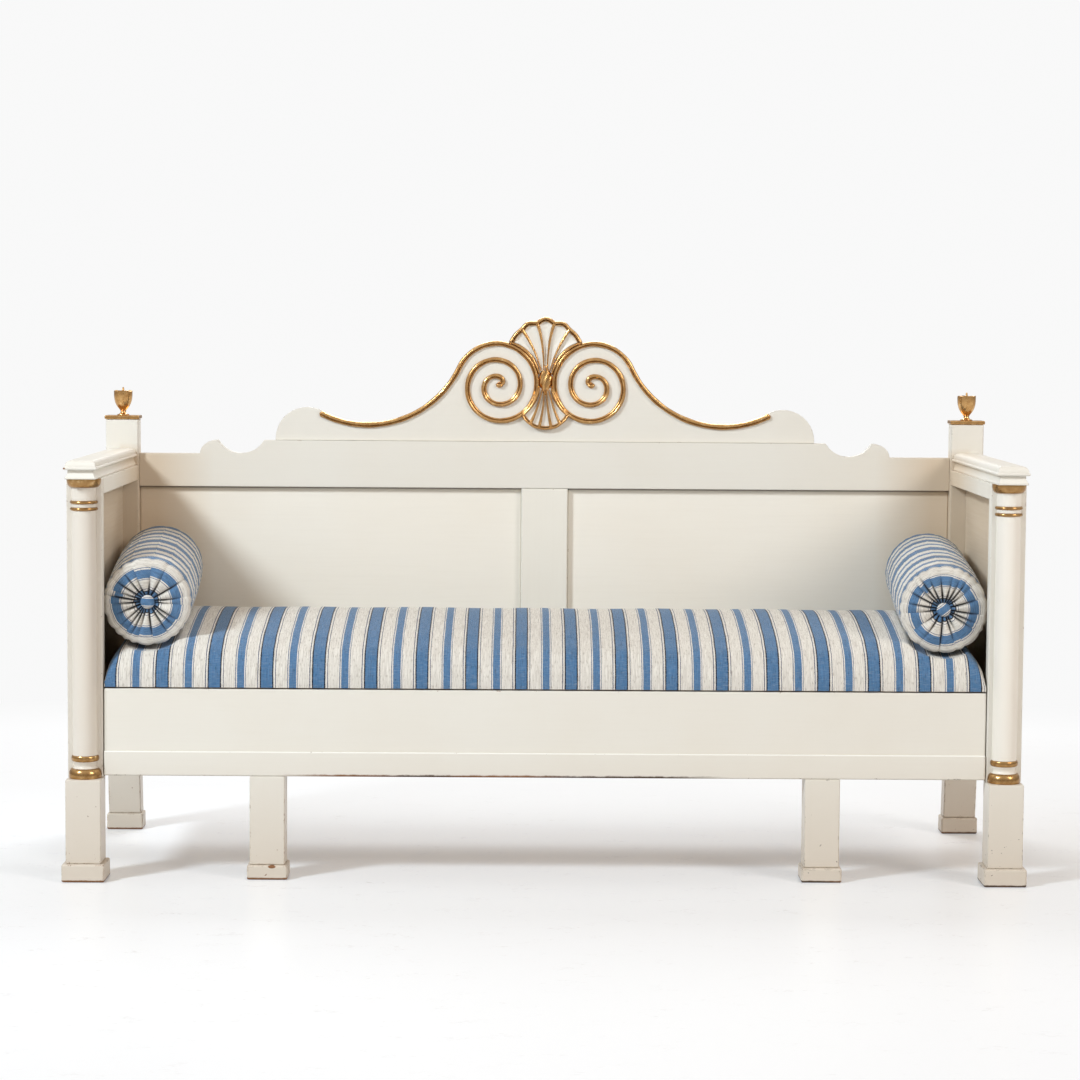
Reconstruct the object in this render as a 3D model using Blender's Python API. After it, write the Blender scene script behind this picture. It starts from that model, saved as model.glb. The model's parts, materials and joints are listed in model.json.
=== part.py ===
"""Painted pull-out sofa: carved crest, half-column arms, loose sprung seat and two bolsters.

Metres, +Z up, +X along the sofa, -Y its front. The origin is on the floor under the middle.
"""

import math

import bmesh
import bpy
from mathutils import Matrix, Vector

# Overall sizes
LENGTH = 2.000  # over the front feet
BODY_DEPTH = 0.6545  # nose of the arm cap to the back of the rear posts
SEAT_LINE = 0.400  # top of the rails that carry the loose seat
ARM_LINE = 0.8354  # underside of the arm caps
POST_TOP = 0.9386  # top of the rear posts, under the gilded plates
RAIL_TOP = 0.8925  # top of the back rail, under the crest
FIT = 0.0003  # gap between pieces that touch
EASE = 0.0016  # eased edge of a painted board
CUT_BEYOND = 0.010  # how far a cutter reaches past the face it opens

# Front posts: foot, plinth, stile and half column
POST_WIDTH = 0.073
FOOT_LIP = 0.008
FOOT_EASE = 0.0035
FRONT_FOOT_HEIGHT = 0.037
PLINTH_HEIGHT = 0.175
PLINTH_DEPTH = 0.070
NOSE_OVERHANG = 0.0173  # arm cap in front of the plinth
STILE_SETBACK = 0.0382  # stile face behind the plinth face
STILE_DEPTH = 0.0285
SHAFT_RADIUS = 0.0258
SHAFT_TAPER = 0.0004
RING_RADIUS = 0.0289
TORUS_RADIUS = 0.0343
TORUS_HEIGHT = 0.0205
TORUS_TUCK = math.pi / 8  # how far the torus turns in below its widest point
SCOTIA_HEIGHT = 0.0145
BASE_RING_HEIGHT = 0.0125
NECK_RING_HEIGHT = 0.007
NECK_RING_DROP = 0.0457  # top of the upper neck ring below the arm cap
CAPITAL_RADIUS = 0.0355
CAPITAL_HEIGHT = 0.0185
CAPITAL_CURVE = 0.0148  # height of the capital's curve, below its flat edge

# Arms
CAP_HEIGHT = 0.0386
CAP_BEAD_INSET = 0.002
CAP_COVE_INSET = 0.007
CAP_FILLET_HEIGHT = 0.004
CAP_BEAD_HEIGHT = 0.0064
CAP_DOME_HEIGHT = 0.0165
CAP_RIDGE_HALF = 0.005
ARM_RAIL_HEIGHT = 0.033
ARM_PANEL_THICKNESS = 0.012
ARM_PANEL_RECESS = 0.035
SIDE_RAIL_THICKNESS = 0.040
GROOVE_DEPTH = 0.008

# Rear posts and their finials
REAR_POST_DEPTH = 0.045
LEG_RAKE = 0.020
REAR_FOOT_LIP = 0.0045
REAR_FOOT_HEIGHT = 0.0365
PLATE_LIP = 0.0025
PLATE_THICKNESS = 0.008
URN_RIM_RADIUS = 0.021
URN_FOOT_RADIUS = 0.0136
URN_STEM_RADIUS = 0.006
URN_CUP_RADIUS = 0.0084
URN_SWELL = 2.4  # how soon the cup widens above its foot
URN_LIP = 0.004
URN_FOOT_HEIGHT = 0.009
URN_CUP_HEIGHT = 0.046
URN_SPIKE_HEIGHT = 0.009

# Back frame
RAIL_SETBACK = 0.018  # back rail behind the rear post's face
RAIL_DROP = 0.1055  # underside of the back rail below its top
RAIL_STEP = 0.031  # outer ends of the rail below its top
BUMP_WIDTH = 0.040
BUMP_FLAT = 0.002
SCOOP_WIDTH = 0.105
SCOOP_DEPTH = 0.030
CREST_LEDGE = 0.026  # flat of the rail outside the crest
PANEL_RECESS = 0.013
PANEL_THICKNESS = 0.009
CENTRE_STILE_WIDTH = 0.105
BACK_RAIL_HEIGHT = 0.100
BACK_RAIL_RISE = 0.030  # above the seat line
SEAT_LEDGE_DEPTH = 0.032
SEAT_LEDGE_HEIGHT = 0.030

# Carved crest, with heights above the back rail
CREST_SETBACK = 0.006
CREST_HALF = 0.611
SHOULDER_RADIUS = 0.071
SHOULDER_RISE = 0.0045
CURL_IN = 0.0365  # where the scroll begins, from the shoulder's centre
CURL_UP = 0.0545
SWEEP_RISE = 0.0360  # lowest point of the swept scroll
VOLUTE_RISE = 0.1255
VOLUTE_RADIUS = 0.097
VOLUTE_PITCH = 0.0375
VOLUTE_TURNS = 2.3
BEAD_WIDTH = 0.011
BEAD_HEIGHT = 0.0065
BALL_RADIUS = 0.0085
FAN_RISE = 0.169
FAN_RADIUS = 0.100
FAN_LOBE = 0.0105
FAN_HALF_ANGLE = 57.0
UPPER_FLUTES = 5
LOWER_FAN_RISE = 0.1105
LOWER_FAN_RADIUS = 0.080
LOWER_FAN_HALF_ANGLE = 46.0
LOWER_FLUTES = 5
FAN_ROOT = 0.006
FLUTE_THICKNESS = 0.004
RIB_THICKNESS = 0.008
BOSS_WIDTH = 0.025
BOSS_HEIGHT = 0.011
BOSS_GAP = 0.0019  # between the boss and the volutes' beads

# Seat rails, pull-out bed and its front
SEAT_RAIL_HEIGHT = 0.038
SEAT_RAIL_THICKNESS = 0.030
CLEAT_WIDTH = 0.045
CLEAT_HEIGHT = 0.028
RUNNER_HEIGHT = 0.022
SLIDE_GAP = 0.002
APRON_SETBACK = 0.003
APRON_THICKNESS = 0.020
APRON_RISE = 0.0043  # apron's lower edge above the side rails' lower edge
APRON_DROP = 0.0015
STRIP_HEIGHT = 0.0516
STRIP_THICKNESS = 0.0045
PULL_LEG_X = 0.578
PULL_LEG_WIDTH = 0.0735
PULL_LEG_DEPTH = 0.060
PULL_FOOT_LIP = 0.0055
PULL_FOOT_HEIGHT = 0.030
BED_INSET = 0.020
BED_SIDE_THICKNESS = 0.022
BED_BOTTOM_RISE = 0.010
BED_BOTTOM_THICKNESS = 0.012
BED_BACK_THICKNESS = 0.020
BED_BACK_GAP = 0.030
BED_CLEARANCE = 0.008

# Loose seat
SEAT_END_GAP = 0.0025
SEAT_BACK_GAP = 0.003
SEAT_NOSE = 0.001  # seat front beyond the apron's face
SEAT_BOARD_THICKNESS = 0.018
FABRIC_WRAP = 0.005
SEAT_LIP = 0.012
SEAT_EDGE = 0.073
SEAT_CROWN = 0.046
SEAT_CROWN_SKEW = 1.3
SEAT_END_SQUARENESS = 10
SEAT_EDGE_SQUARENESS = 14
SEAT_COLUMNS = 34
SEAT_ROWS = 16

# Bolsters
BOLSTER_RADIUS = 0.0925
BOLSTER_BARREL = 0.003
RIM_ROUND = 0.012
BOLSTER_SETBACK = 0.045  # front end behind the stile's face
BOLSTER_BACK_GAP = 0.030  # back end in front of the rear post
BOLSTER_YAW = 3.6
BOLSTER_PITCH = 3.0
BOLSTER_PLEATS = 18
PLEAT_DEPTH = 0.0018
BUTTON_RADIUS = 0.0145
BUTTON_HEIGHT = 0.006
BUTTON_RECESS = 0.009
BUTTON_GAP = 0.0012

# Places that several pieces share
Y_NOSE = -(BODY_DEPTH + LEG_RAKE + REAR_FOOT_LIP) / 2
Y_PLINTH = Y_NOSE + NOSE_OVERHANG
Y_STILE = Y_PLINTH + STILE_SETBACK
Y_STILE_BACK = Y_STILE + STILE_DEPTH
Y_POST_BACK = Y_NOSE + BODY_DEPTH
Y_POST = Y_POST_BACK - REAR_POST_DEPTH
Y_RAIL = Y_POST + RAIL_SETBACK
Y_PANEL = Y_RAIL + PANEL_RECESS
Y_CREST = Y_RAIL + CREST_SETBACK
Y_SEAT_LEDGE = Y_RAIL - SEAT_LEDGE_DEPTH
X_OUT = LENGTH / 2 - FOOT_LIP
X_IN = X_OUT - POST_WIDTH
X_MID = (X_OUT + X_IN) / 2
X_ARM_PANEL = X_IN + ARM_PANEL_RECESS
X_SIDE_RAIL = X_ARM_PANEL + (ARM_PANEL_THICKNESS - SIDE_RAIL_THICKNESS) / 2
Z_PLINTH = FRONT_FOOT_HEIGHT + FIT + PLINTH_HEIGHT
Z_SIDE_RAIL = Z_PLINTH + FIT
Z_RUNNER = Z_SIDE_RAIL + RUNNER_HEIGHT
Z_APRON = Z_SIDE_RAIL + APRON_RISE
Z_ARM_RAIL = ARM_LINE - FIT - ARM_RAIL_HEIGHT
Z_BACK_RAIL = RAIL_TOP - RAIL_DROP
Z_SEAT = SEAT_LINE + FIT
Y_APRON = Y_STILE + APRON_SETBACK
Y_APRON_BACK = Y_APRON + APRON_THICKNESS
Y_STRIP = Y_APRON - FIT - STRIP_THICKNESS
VOLUTE_X = VOLUTE_RADIUS - VOLUTE_PITCH / 4 + BEAD_WIDTH / 2 + BOSS_WIDTH / 2 + BOSS_GAP
BOLSTER_SPAN = Y_POST - BOLSTER_BACK_GAP - Y_STILE - BOLSTER_SETBACK
BOLSTER_LENGTH = BOLSTER_SPAN / math.cos(math.radians(BOLSTER_YAW))

for old in list(bpy.data.objects):
    bpy.data.objects.remove(old)


def finish(name, colour, roughness, metallic=0.0):
    material = bpy.data.materials.new(name)
    material.use_nodes = True
    shader = material.node_tree.nodes["Principled BSDF"]
    shader.inputs["Base Color"].default_value = (*colour, 1.0)
    shader.inputs["Roughness"].default_value = roughness
    shader.inputs["Metallic"].default_value = metallic
    material.diffuse_color = (*colour, 1.0)
    return material


PAINT = finish("ivory_paint", (0.80, 0.76, 0.68), 0.35)
GILT = finish("antique_gilding", (0.45, 0.27, 0.09), 0.38, 1.0)
TICKING = finish("striped_ticking", (0.42, 0.47, 0.53), 0.9)
PINE = finish("bare_pine", (0.50, 0.33, 0.17), 0.7)


def solid(name, mesh_data, material, parent=None, smooth=None):
    """One named object from a bmesh, with its normals out and its round faces shaded smooth."""
    bmesh.ops.recalc_face_normals(mesh_data, faces=mesh_data.faces)
    mesh = bpy.data.meshes.new(name)
    mesh_data.to_mesh(mesh)
    mesh_data.free()
    mesh.materials.append(material)
    if smooth is not None:
        mesh.shade_smooth()
        mesh.set_sharp_from_angle(angle=math.radians(smooth))
    made = bpy.data.objects.new(name, mesh)
    bpy.context.scene.collection.objects.link(made)
    if parent is not None:
        made.parent = parent
        made.matrix_parent_inverse = parent.matrix_world.inverted()
    return made


def ease(made, width=EASE, segments=1):
    bevel = made.modifiers.new("eased_edges", "BEVEL")
    bevel.width = width
    bevel.segments = segments
    bevel.limit_method = "ANGLE"
    bevel.angle_limit = math.radians(40)
    return made


def block(name, low, high, material, parent=None, segments=1, edge=EASE):
    """A board with eased edges between two corners."""
    mesh_data = bmesh.new()
    bmesh.ops.create_cube(mesh_data, size=1.0)
    low, high = Vector(low), Vector(high)
    size = high - low
    middle = (low + high) / 2
    shape = Matrix.Translation(middle) @ Matrix.Diagonal((abs(size.x), abs(size.y), abs(size.z), 1.0))
    bmesh.ops.transform(mesh_data, matrix=shape, verts=mesh_data.verts)
    return ease(solid(name, mesh_data, material, parent), edge, segments)


def prism(name, outline, along, start, end, material, parent=None):
    """An outline extruded along X, given as (y, z), or along Y, given as (x, z)."""
    mesh_data = bmesh.new()
    if along == "X":
        points = [(start, a, b) for a, b in outline]
        push = Vector((end - start, 0, 0))
    else:
        points = [(a, start, b) for a, b in outline]
        push = Vector((0, end - start, 0))
    face = mesh_data.faces.new([mesh_data.verts.new(point) for point in points])
    grown = bmesh.ops.extrude_face_region(mesh_data, geom=[face], use_keep_orig=True)
    moved = [item for item in grown["geom"] if isinstance(item, bmesh.types.BMVert)]
    bmesh.ops.translate(mesh_data, vec=push, verts=moved)
    return solid(name, mesh_data, material, parent)


def arc(centre, radius, start, end, steps):
    """Points on a circle from one angle to another, in degrees."""
    turns = [math.radians(start + (end - start) * i / steps) for i in range(steps + 1)]
    return [(centre[0] + radius * math.cos(t), centre[1] + radius * math.sin(t)) for t in turns]


def turned(profile, steps):
    """A full turning from a profile of (radius, height), with both ends on the axis."""
    mesh_data = bmesh.new()
    verts = [mesh_data.verts.new((radius, 0, height)) for radius, height in profile]
    edges = [mesh_data.edges.new(pair) for pair in zip(verts, verts[1:])]
    bmesh.ops.spin(
        mesh_data, geom=verts + edges, axis=(0, 0, 1), cent=(0, 0, 0), angle=math.tau, steps=steps
    )
    bmesh.ops.remove_doubles(mesh_data, verts=mesh_data.verts, dist=1e-6)
    return mesh_data


def keep_front_half(mesh_data):
    """Cuts a turning along its axis, keeps the half towards -Y and closes its flat back."""
    geom = mesh_data.verts[:] + mesh_data.edges[:] + mesh_data.faces[:]
    bmesh.ops.bisect_plane(
        mesh_data, geom=geom, dist=1e-6, plane_co=(0, 0, 0), plane_no=(0, 1, 0), clear_outer=True
    )
    rim = [edge for edge in mesh_data.edges if edge.is_boundary]
    bmesh.ops.holes_fill(mesh_data, edges=rim, sides=0)


def axis_empty(name, place):
    empty = bpy.data.objects.new(name, None)
    empty.location = place
    bpy.context.scene.collection.objects.link(empty)
    bpy.context.view_layer.update()
    return empty


def front_post(side, tag):
    """Foot, plinth, stile and turned half column of one front corner."""
    lip = FOOT_LIP
    block(
        f"front_foot_{tag}",
        (side * (X_IN - lip), Y_PLINTH - lip, 0),
        (side * (X_OUT + lip), Y_PLINTH + PLINTH_DEPTH + lip, FRONT_FOOT_HEIGHT),
        PAINT,
        segments=2,
        edge=FOOT_EASE,
    )
    block(
        f"front_plinth_{tag}",
        (side * X_IN, Y_PLINTH, FRONT_FOOT_HEIGHT + FIT),
        (side * X_OUT, Y_PLINTH + PLINTH_DEPTH, Z_PLINTH),
        PAINT,
        segments=2,
    )
    block(
        f"front_stile_{tag}",
        (side * X_IN, Y_STILE, Z_PLINTH + FIT),
        (side * X_OUT, Y_STILE_BACK, ARM_LINE - FIT),
        PAINT,
    )
    bottom = Z_PLINTH + FIT
    top = ARM_LINE - FIT
    scotia = bottom + TORUS_HEIGHT
    ring = scotia + SCOTIA_HEIGHT
    shaft = ring + BASE_RING_HEIGHT
    upper_ring = top - NECK_RING_DROP
    lower_ring = upper_ring - 2 * NECK_RING_HEIGHT
    slim = SHAFT_RADIUS - SHAFT_TAPER
    bulge = TORUS_RADIUS - SHAFT_RADIUS
    swell = RING_RADIUS - SHAFT_RADIUS
    profile = [(0, bottom)]
    for i in range(7):
        turn = (math.pi / 2 + TORUS_TUCK) * i / 6 - TORUS_TUCK
        share = (math.sin(turn) + math.sin(TORUS_TUCK)) / (1 + math.sin(TORUS_TUCK))
        profile.append((SHAFT_RADIUS + bulge * math.cos(turn), bottom + TORUS_HEIGHT * share))
    for i in range(1, 4):
        turn = math.pi * i / 4
        profile.append((SHAFT_RADIUS - swell * math.sin(turn), scotia + SCOTIA_HEIGHT * i / 4))
    for i in range(5):
        turn = math.pi * i / 4
        radius = SHAFT_RADIUS + swell * math.sin(turn)
        profile.append((radius, ring + BASE_RING_HEIGHT * (1 - math.cos(turn)) / 2))
    profile.append((SHAFT_RADIUS, (shaft + lower_ring) / 2))
    for low in (lower_ring - NECK_RING_HEIGHT, upper_ring - NECK_RING_HEIGHT):
        for i in range(5):
            turn = math.pi * i / 4
            height = low + NECK_RING_HEIGHT * (1 - math.cos(turn)) / 2
            profile.append((slim + (RING_RADIUS - slim) * math.sin(turn), height))
    for i in range(6):
        turn = math.pi / 2 * i / 5
        radius = slim + (CAPITAL_RADIUS - slim) * math.sin(turn)
        rise = CAPITAL_CURVE * (1 - math.cos(turn))
        profile.append((radius, top - CAPITAL_HEIGHT + rise))
    profile.append((CAPITAL_RADIUS, top))
    profile.append((0, top))
    mesh_data = turned(profile, 24)
    keep_front_half(mesh_data)
    bmesh.ops.translate(mesh_data, vec=(side * X_MID, Y_STILE - FIT, 0), verts=mesh_data.verts)
    solid(f"half_column_{tag}", mesh_data, PAINT, smooth=35)


def cap_levels():
    """(inset, height) of the arm cap's moulding from its underside to the ridge of its dome."""
    levels = [(0, 0), (0, CAP_FILLET_HEIGHT)]
    bead_low = CAP_HEIGHT - CAP_DOME_HEIGHT - CAP_BEAD_HEIGHT
    cove = bead_low - CAP_FILLET_HEIGHT
    for i in range(1, 5):
        turn = math.pi / 2 * i / 4
        levels.append((CAP_COVE_INSET * math.sin(turn), CAP_FILLET_HEIGHT + cove * (1 - math.cos(turn))))
    for i in range(5):
        turn = math.pi * i / 4
        inset = CAP_BEAD_INSET + CAP_BEAD_HEIGHT / 2 * (1 - math.sin(turn))
        levels.append((inset, bead_low + FIT + (CAP_BEAD_HEIGHT - FIT) * (1 - math.cos(turn)) / 2))
    ridge = POST_WIDTH / 2 - CAP_RIDGE_HALF
    start = levels[-1][0]
    low = CAP_HEIGHT - CAP_DOME_HEIGHT
    for i in range(1, 7):
        turn = math.pi / 2 * i / 6
        inset = start + (ridge - start) * (1 - math.cos(turn))
        levels.append((inset, low + CAP_DOME_HEIGHT * math.sin(turn)))
    return levels


def arm(side, tag):
    """Mitred moulded cap, top rail, panel and side rail of one arm."""
    mesh_data = bmesh.new()
    rings = []
    for inset, rise in cap_levels():
        corners = (
            (X_IN + inset, Y_NOSE + inset),
            (X_OUT - inset, Y_NOSE + inset),
            (X_OUT - inset, Y_POST - FIT),
            (X_IN + inset, Y_POST - FIT),
        )
        rings.append([mesh_data.verts.new((side * x, y, ARM_LINE + rise)) for x, y in corners])
    for lower, upper in zip(rings, rings[1:]):
        for i in range(4):
            j = (i + 1) % 4
            mesh_data.faces.new((lower[i], lower[j], upper[j], upper[i]))
    mesh_data.faces.new(rings[0])
    mesh_data.faces.new(rings[-1])
    solid(f"arm_cap_{tag}", mesh_data, PAINT, smooth=28)

    slot_in = X_ARM_PANEL - FIT
    slot_out = X_ARM_PANEL + ARM_PANEL_THICKNESS + FIT
    rail_top = ARM_LINE - FIT
    slot_top = Z_ARM_RAIL + GROOVE_DEPTH
    rail = [(X_IN, Z_ARM_RAIL), (slot_in, Z_ARM_RAIL), (slot_in, slot_top), (slot_out, slot_top)]
    rail += [(slot_out, Z_ARM_RAIL), (X_OUT, Z_ARM_RAIL), (X_OUT, rail_top), (X_IN, rail_top)]
    front = Y_STILE_BACK + FIT
    back = Y_POST - FIT
    prism(f"arm_top_rail_{tag}", [(side * x, z) for x, z in rail], "Y", front, back, PAINT)

    x_rail_out = X_SIDE_RAIL + SIDE_RAIL_THICKNESS
    slot_low = SEAT_LINE - GROOVE_DEPTH
    rail = [(X_SIDE_RAIL, Z_SIDE_RAIL), (x_rail_out, Z_SIDE_RAIL), (x_rail_out, SEAT_LINE)]
    rail += [(slot_out, SEAT_LINE), (slot_out, slot_low), (slot_in, slot_low), (slot_in, SEAT_LINE)]
    rail += [(X_SIDE_RAIL, SEAT_LINE)]
    prism(f"side_rail_{tag}", [(side * x, z) for x, z in rail], "Y", front, back, PAINT)
    block(
        f"arm_panel_{tag}",
        (side * X_ARM_PANEL, front, slot_low + FIT),
        (side * (X_ARM_PANEL + ARM_PANEL_THICKNESS), back, slot_top - FIT),
        PAINT,
    )


def rear_post(side, tag):
    """Rear post whose leg curves back below the rails, its foot, gilded plate and urn."""
    knee = Z_SIDE_RAIL
    foot_top = REAR_FOOT_HEIGHT + FIT
    curve = []
    for i in range(6):
        drop = i / 5
        curve.append((LEG_RAKE * drop**1.5, knee + (foot_top - knee) * drop))
    outline = [(Y_POST, POST_TOP)]
    outline += [(Y_POST + back, height) for back, height in curve]
    outline += [(Y_POST_BACK + back, height) for back, height in reversed(curve)]
    outline += [(Y_POST_BACK, POST_TOP)]
    ease(prism(f"rear_post_{tag}", outline, "X", side * X_IN, side * X_OUT, PAINT))
    lip = REAR_FOOT_LIP
    block(
        f"rear_foot_{tag}",
        (side * (X_IN - lip), Y_POST + LEG_RAKE - lip, 0),
        (side * (X_OUT + lip), Y_POST_BACK + LEG_RAKE + lip, REAR_FOOT_HEIGHT),
        PAINT,
        segments=2,
        edge=FOOT_EASE,
    )
    plate_top = POST_TOP + FIT + PLATE_THICKNESS
    block(
        f"finial_plate_{tag}",
        (side * (X_IN - PLATE_LIP), Y_POST - PLATE_LIP, POST_TOP + FIT),
        (side * (X_OUT + PLATE_LIP), Y_POST_BACK + PLATE_LIP, plate_top),
        GILT,
        segments=2,
    )
    base = plate_top + FIT
    cup = base + URN_FOOT_HEIGHT + 2 * URN_STEM_RADIUS / 3
    rim = base + URN_FOOT_HEIGHT + URN_CUP_HEIGHT
    profile = [(0, base), (URN_FOOT_RADIUS, base), (URN_FOOT_RADIUS, base + URN_FOOT_HEIGHT / 4)]
    for i in range(1, 5):
        turn = math.pi / 2 * i / 4
        radius = URN_FOOT_RADIUS - (URN_FOOT_RADIUS - URN_STEM_RADIUS) * math.sin(turn)
        profile.append((radius, base + URN_FOOT_HEIGHT * (1 - 0.75 * math.cos(turn))))
    profile.append((URN_CUP_RADIUS, cup))
    for i in range(1, 9):
        up = i / 8
        swell = 1 - (1 - up) ** URN_SWELL
        radius = URN_CUP_RADIUS + (URN_RIM_RADIUS - URN_CUP_RADIUS) * swell
        profile.append((radius, cup + (rim - cup) * up))
    profile.append((URN_RIM_RADIUS - URN_LIP, rim + URN_LIP / 4))
    profile.append((URN_STEM_RADIUS, rim + URN_SPIKE_HEIGHT / 3))
    profile.append((0, rim + URN_SPIKE_HEIGHT))
    mesh_data = turned(profile, 20)
    bmesh.ops.translate(mesh_data, vec=(side * X_MID, (Y_POST + Y_POST_BACK) / 2, 0), verts=mesh_data.verts)
    solid(f"urn_finial_{tag}", mesh_data, GILT, smooth=40)


def mirrored(half):
    """A whole outline from its left half, listed from the bottom middle out and round to the top middle."""
    return half + [(-x, z) for x, z in reversed(half) if abs(x) > 1e-9]


def back_frame():
    """Shaped top rail, bottom rail with the seat's ledge, centre stile and two panels."""
    half_length = X_IN - FIT
    ledge = CREST_HALF + CREST_LEDGE
    far = ledge + SCOOP_WIDTH
    end = far + BUMP_WIDTH
    scoop = (SCOOP_WIDTH**2 / 4 + SCOOP_DEPTH**2) / (2 * SCOOP_DEPTH)
    spread = math.degrees(math.asin(SCOOP_WIDTH / 2 / scoop))
    centre = (-(ledge + far) / 2, RAIL_TOP - SCOOP_DEPTH + scoop)
    low = RAIL_TOP - RAIL_STEP
    outline = [(-half_length, Z_BACK_RAIL), (-half_length, low)]
    for i in range(7):
        turn = math.pi / 2 * i / 6
        across = (BUMP_WIDTH - BUMP_FLAT) * (1 - math.cos(turn))
        outline.append((-end + across, low + RAIL_STEP * math.sin(turn)))
    outline += arc(centre, scoop, 270 - spread, 270 + spread, 12)
    rail = prism("back_top_rail", mirrored(outline), "Y", Y_RAIL, Y_POST_BACK, PAINT)
    slot_front = Y_PANEL - FIT
    slot_back = Y_PANEL + PANEL_THICKNESS + FIT
    cutter = block(
        "rail_groove_cutter",
        (-half_length - CUT_BEYOND, slot_front, Z_BACK_RAIL - CUT_BEYOND),
        (half_length + CUT_BEYOND, slot_back, Z_BACK_RAIL + GROOVE_DEPTH),
        PAINT,
    )
    cutter.modifiers.clear()
    cutter.hide_render = True
    cutter.display_type = "WIRE"
    groove = rail.modifiers.new("panel_groove", "BOOLEAN")
    groove.operation = "DIFFERENCE"
    groove.object = cutter

    top = SEAT_LINE + BACK_RAIL_RISE
    bottom = top - BACK_RAIL_HEIGHT
    ledge_low = SEAT_LINE - SEAT_LEDGE_HEIGHT
    slot_low = top - GROOVE_DEPTH
    section = [(Y_RAIL, bottom), (Y_POST_BACK, bottom), (Y_POST_BACK, top), (slot_back, top)]
    section += [(slot_back, slot_low), (slot_front, slot_low), (slot_front, top), (Y_RAIL, top)]
    section += [(Y_RAIL, SEAT_LINE), (Y_SEAT_LEDGE, SEAT_LINE)]
    section += [(Y_SEAT_LEDGE, ledge_low), (Y_RAIL, ledge_low)]
    prism("back_bottom_rail", section, "X", -half_length, half_length, PAINT)

    half = CENTRE_STILE_WIDTH / 2
    block(
        "back_centre_stile", (-half, Y_RAIL, top + FIT), (half, Y_POST_BACK, Z_BACK_RAIL - FIT), PAINT
    )
    for side, tag in SIDES:
        block(
            f"back_panel_{tag}",
            (side * (half + FIT), Y_PANEL, slot_low + FIT),
            (side * half_length, Y_PANEL + PANEL_THICKNESS, Z_BACK_RAIL + GROOVE_DEPTH - FIT),
            PAINT,
        )


def circles_meet(first, first_radius, second, second_radius):
    """The upper point that lies on both circles."""
    across = Vector(second) - Vector(first)
    apart = across.length
    along = (first_radius**2 - second_radius**2 + apart**2) / (2 * apart)
    rise = math.sqrt(max(first_radius**2 - along**2, 0))
    foot = Vector(first) + across * (along / apart)
    sideways = Vector((-across.y, across.x)) / apart
    points = (foot + sideways * rise, foot - sideways * rise)
    return max(points, key=lambda point: point.y)


SHOULDER = Vector((-(CREST_HALF - SHOULDER_RADIUS), SHOULDER_RISE))
CURL = SHOULDER + Vector((CURL_IN, CURL_UP))
VOLUTE = Vector((-VOLUTE_X, VOLUTE_RISE))


def sweep_centre(radius):
    return circles_meet(CURL, radius, VOLUTE, radius + VOLUTE_RADIUS)


def sweep_radius():
    """Radius at which the sweep from curl to volute comes down to its set rise above the rail."""
    across = VOLUTE - CURL
    least = (across.length - VOLUTE_RADIUS) / 2
    most = (across.length_squared - VOLUTE_RADIUS**2) / (2 * (VOLUTE_RADIUS + across.y))
    for _ in range(60):
        radius = (least + most) / 2
        if sweep_centre(radius).y - radius < SWEEP_RISE:
            least = radius
        else:
            most = radius
    return radius


SWEEP_RADIUS = sweep_radius()
SWEEP = sweep_centre(SWEEP_RADIUS)
SWEEP_START = math.degrees(math.atan2(CURL.y - SWEEP.y, CURL.x - SWEEP.x)) % 360
SWEEP_END = math.degrees(math.atan2(VOLUTE.y - SWEEP.y, VOLUTE.x - SWEEP.x)) % 360


def volute_radius(angle):
    """Centre line of the left volute at an angle in degrees: round to its top, then a spiral."""
    return VOLUTE_RADIUS - VOLUTE_PITCH * max(90 - angle, 0) / 360


def crest_board():
    """Board whose edge follows the shoulders, the swept scrolls and the volutes."""
    half = BEAD_WIDTH / 2
    edge = [(-CREST_HALF, FIT)]
    start = SWEEP + (CURL - SWEEP).normalized() * (SWEEP_RADIUS - half)
    shoulder_end = math.degrees(math.acos((start.x - SHOULDER.x) / SHOULDER_RADIUS))
    edge += arc(SHOULDER, SHOULDER_RADIUS, 180, shoulder_end, 12)
    edge += arc(SWEEP, SWEEP_RADIUS - half, SWEEP_START, SWEEP_END, 16)
    backing = FAN_RADIUS - FAN_LOBE / 2
    fan = Vector((0, FAN_RISE))
    meet = circles_meet(VOLUTE, VOLUTE_RADIUS + half, fan, backing) - VOLUTE
    volute_end = math.degrees(math.atan2(meet.y, meet.x))
    edge += arc(VOLUTE, VOLUTE_RADIUS + half, SWEEP_END - 180, volute_end, 8)[1:]
    rim = VOLUTE + meet - fan
    fan_start = math.degrees(math.atan2(rim.y, rim.x))
    edge += arc(fan, backing, fan_start, 90, 8)[1:]
    outline = [(x, RAIL_TOP + z) for x, z in edge]
    prism("crest_board", mirrored(outline), "Y", Y_CREST, Y_POST_BACK, PAINT)


def scroll_path():
    """Centre line of the left scroll: from the curl over the sweep and into the volute."""
    points = [Vector(p) for p in arc(SWEEP, SWEEP_RADIUS, SWEEP_START, SWEEP_END, 22)]
    top = SWEEP_END - 180
    turns = top - 90 + 360 * VOLUTE_TURNS
    steps = round(turns / 15)
    for i in range(1, steps + 1):
        angle = top - turns * i / steps
        toward = Vector((math.cos(math.radians(angle)), math.sin(math.radians(angle))))
        points.append(VOLUTE + volute_radius(angle) * toward)
    first, last = points[0], points[-1]
    step_in = (points[1] - first).normalized()
    step_out = (points[-2] - last).normalized()
    fine = (0.15, 0.5, 1.0, 1.5)
    start = [first] + [first + step_in * BALL_RADIUS * f for f in fine]
    end = [last + step_out * BALL_RADIUS * f for f in reversed(fine)] + [last]
    near = 2 * BALL_RADIUS
    middle = [p for p in points if (p - first).length > near and (p - last).length > near]
    return start + middle + end


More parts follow.
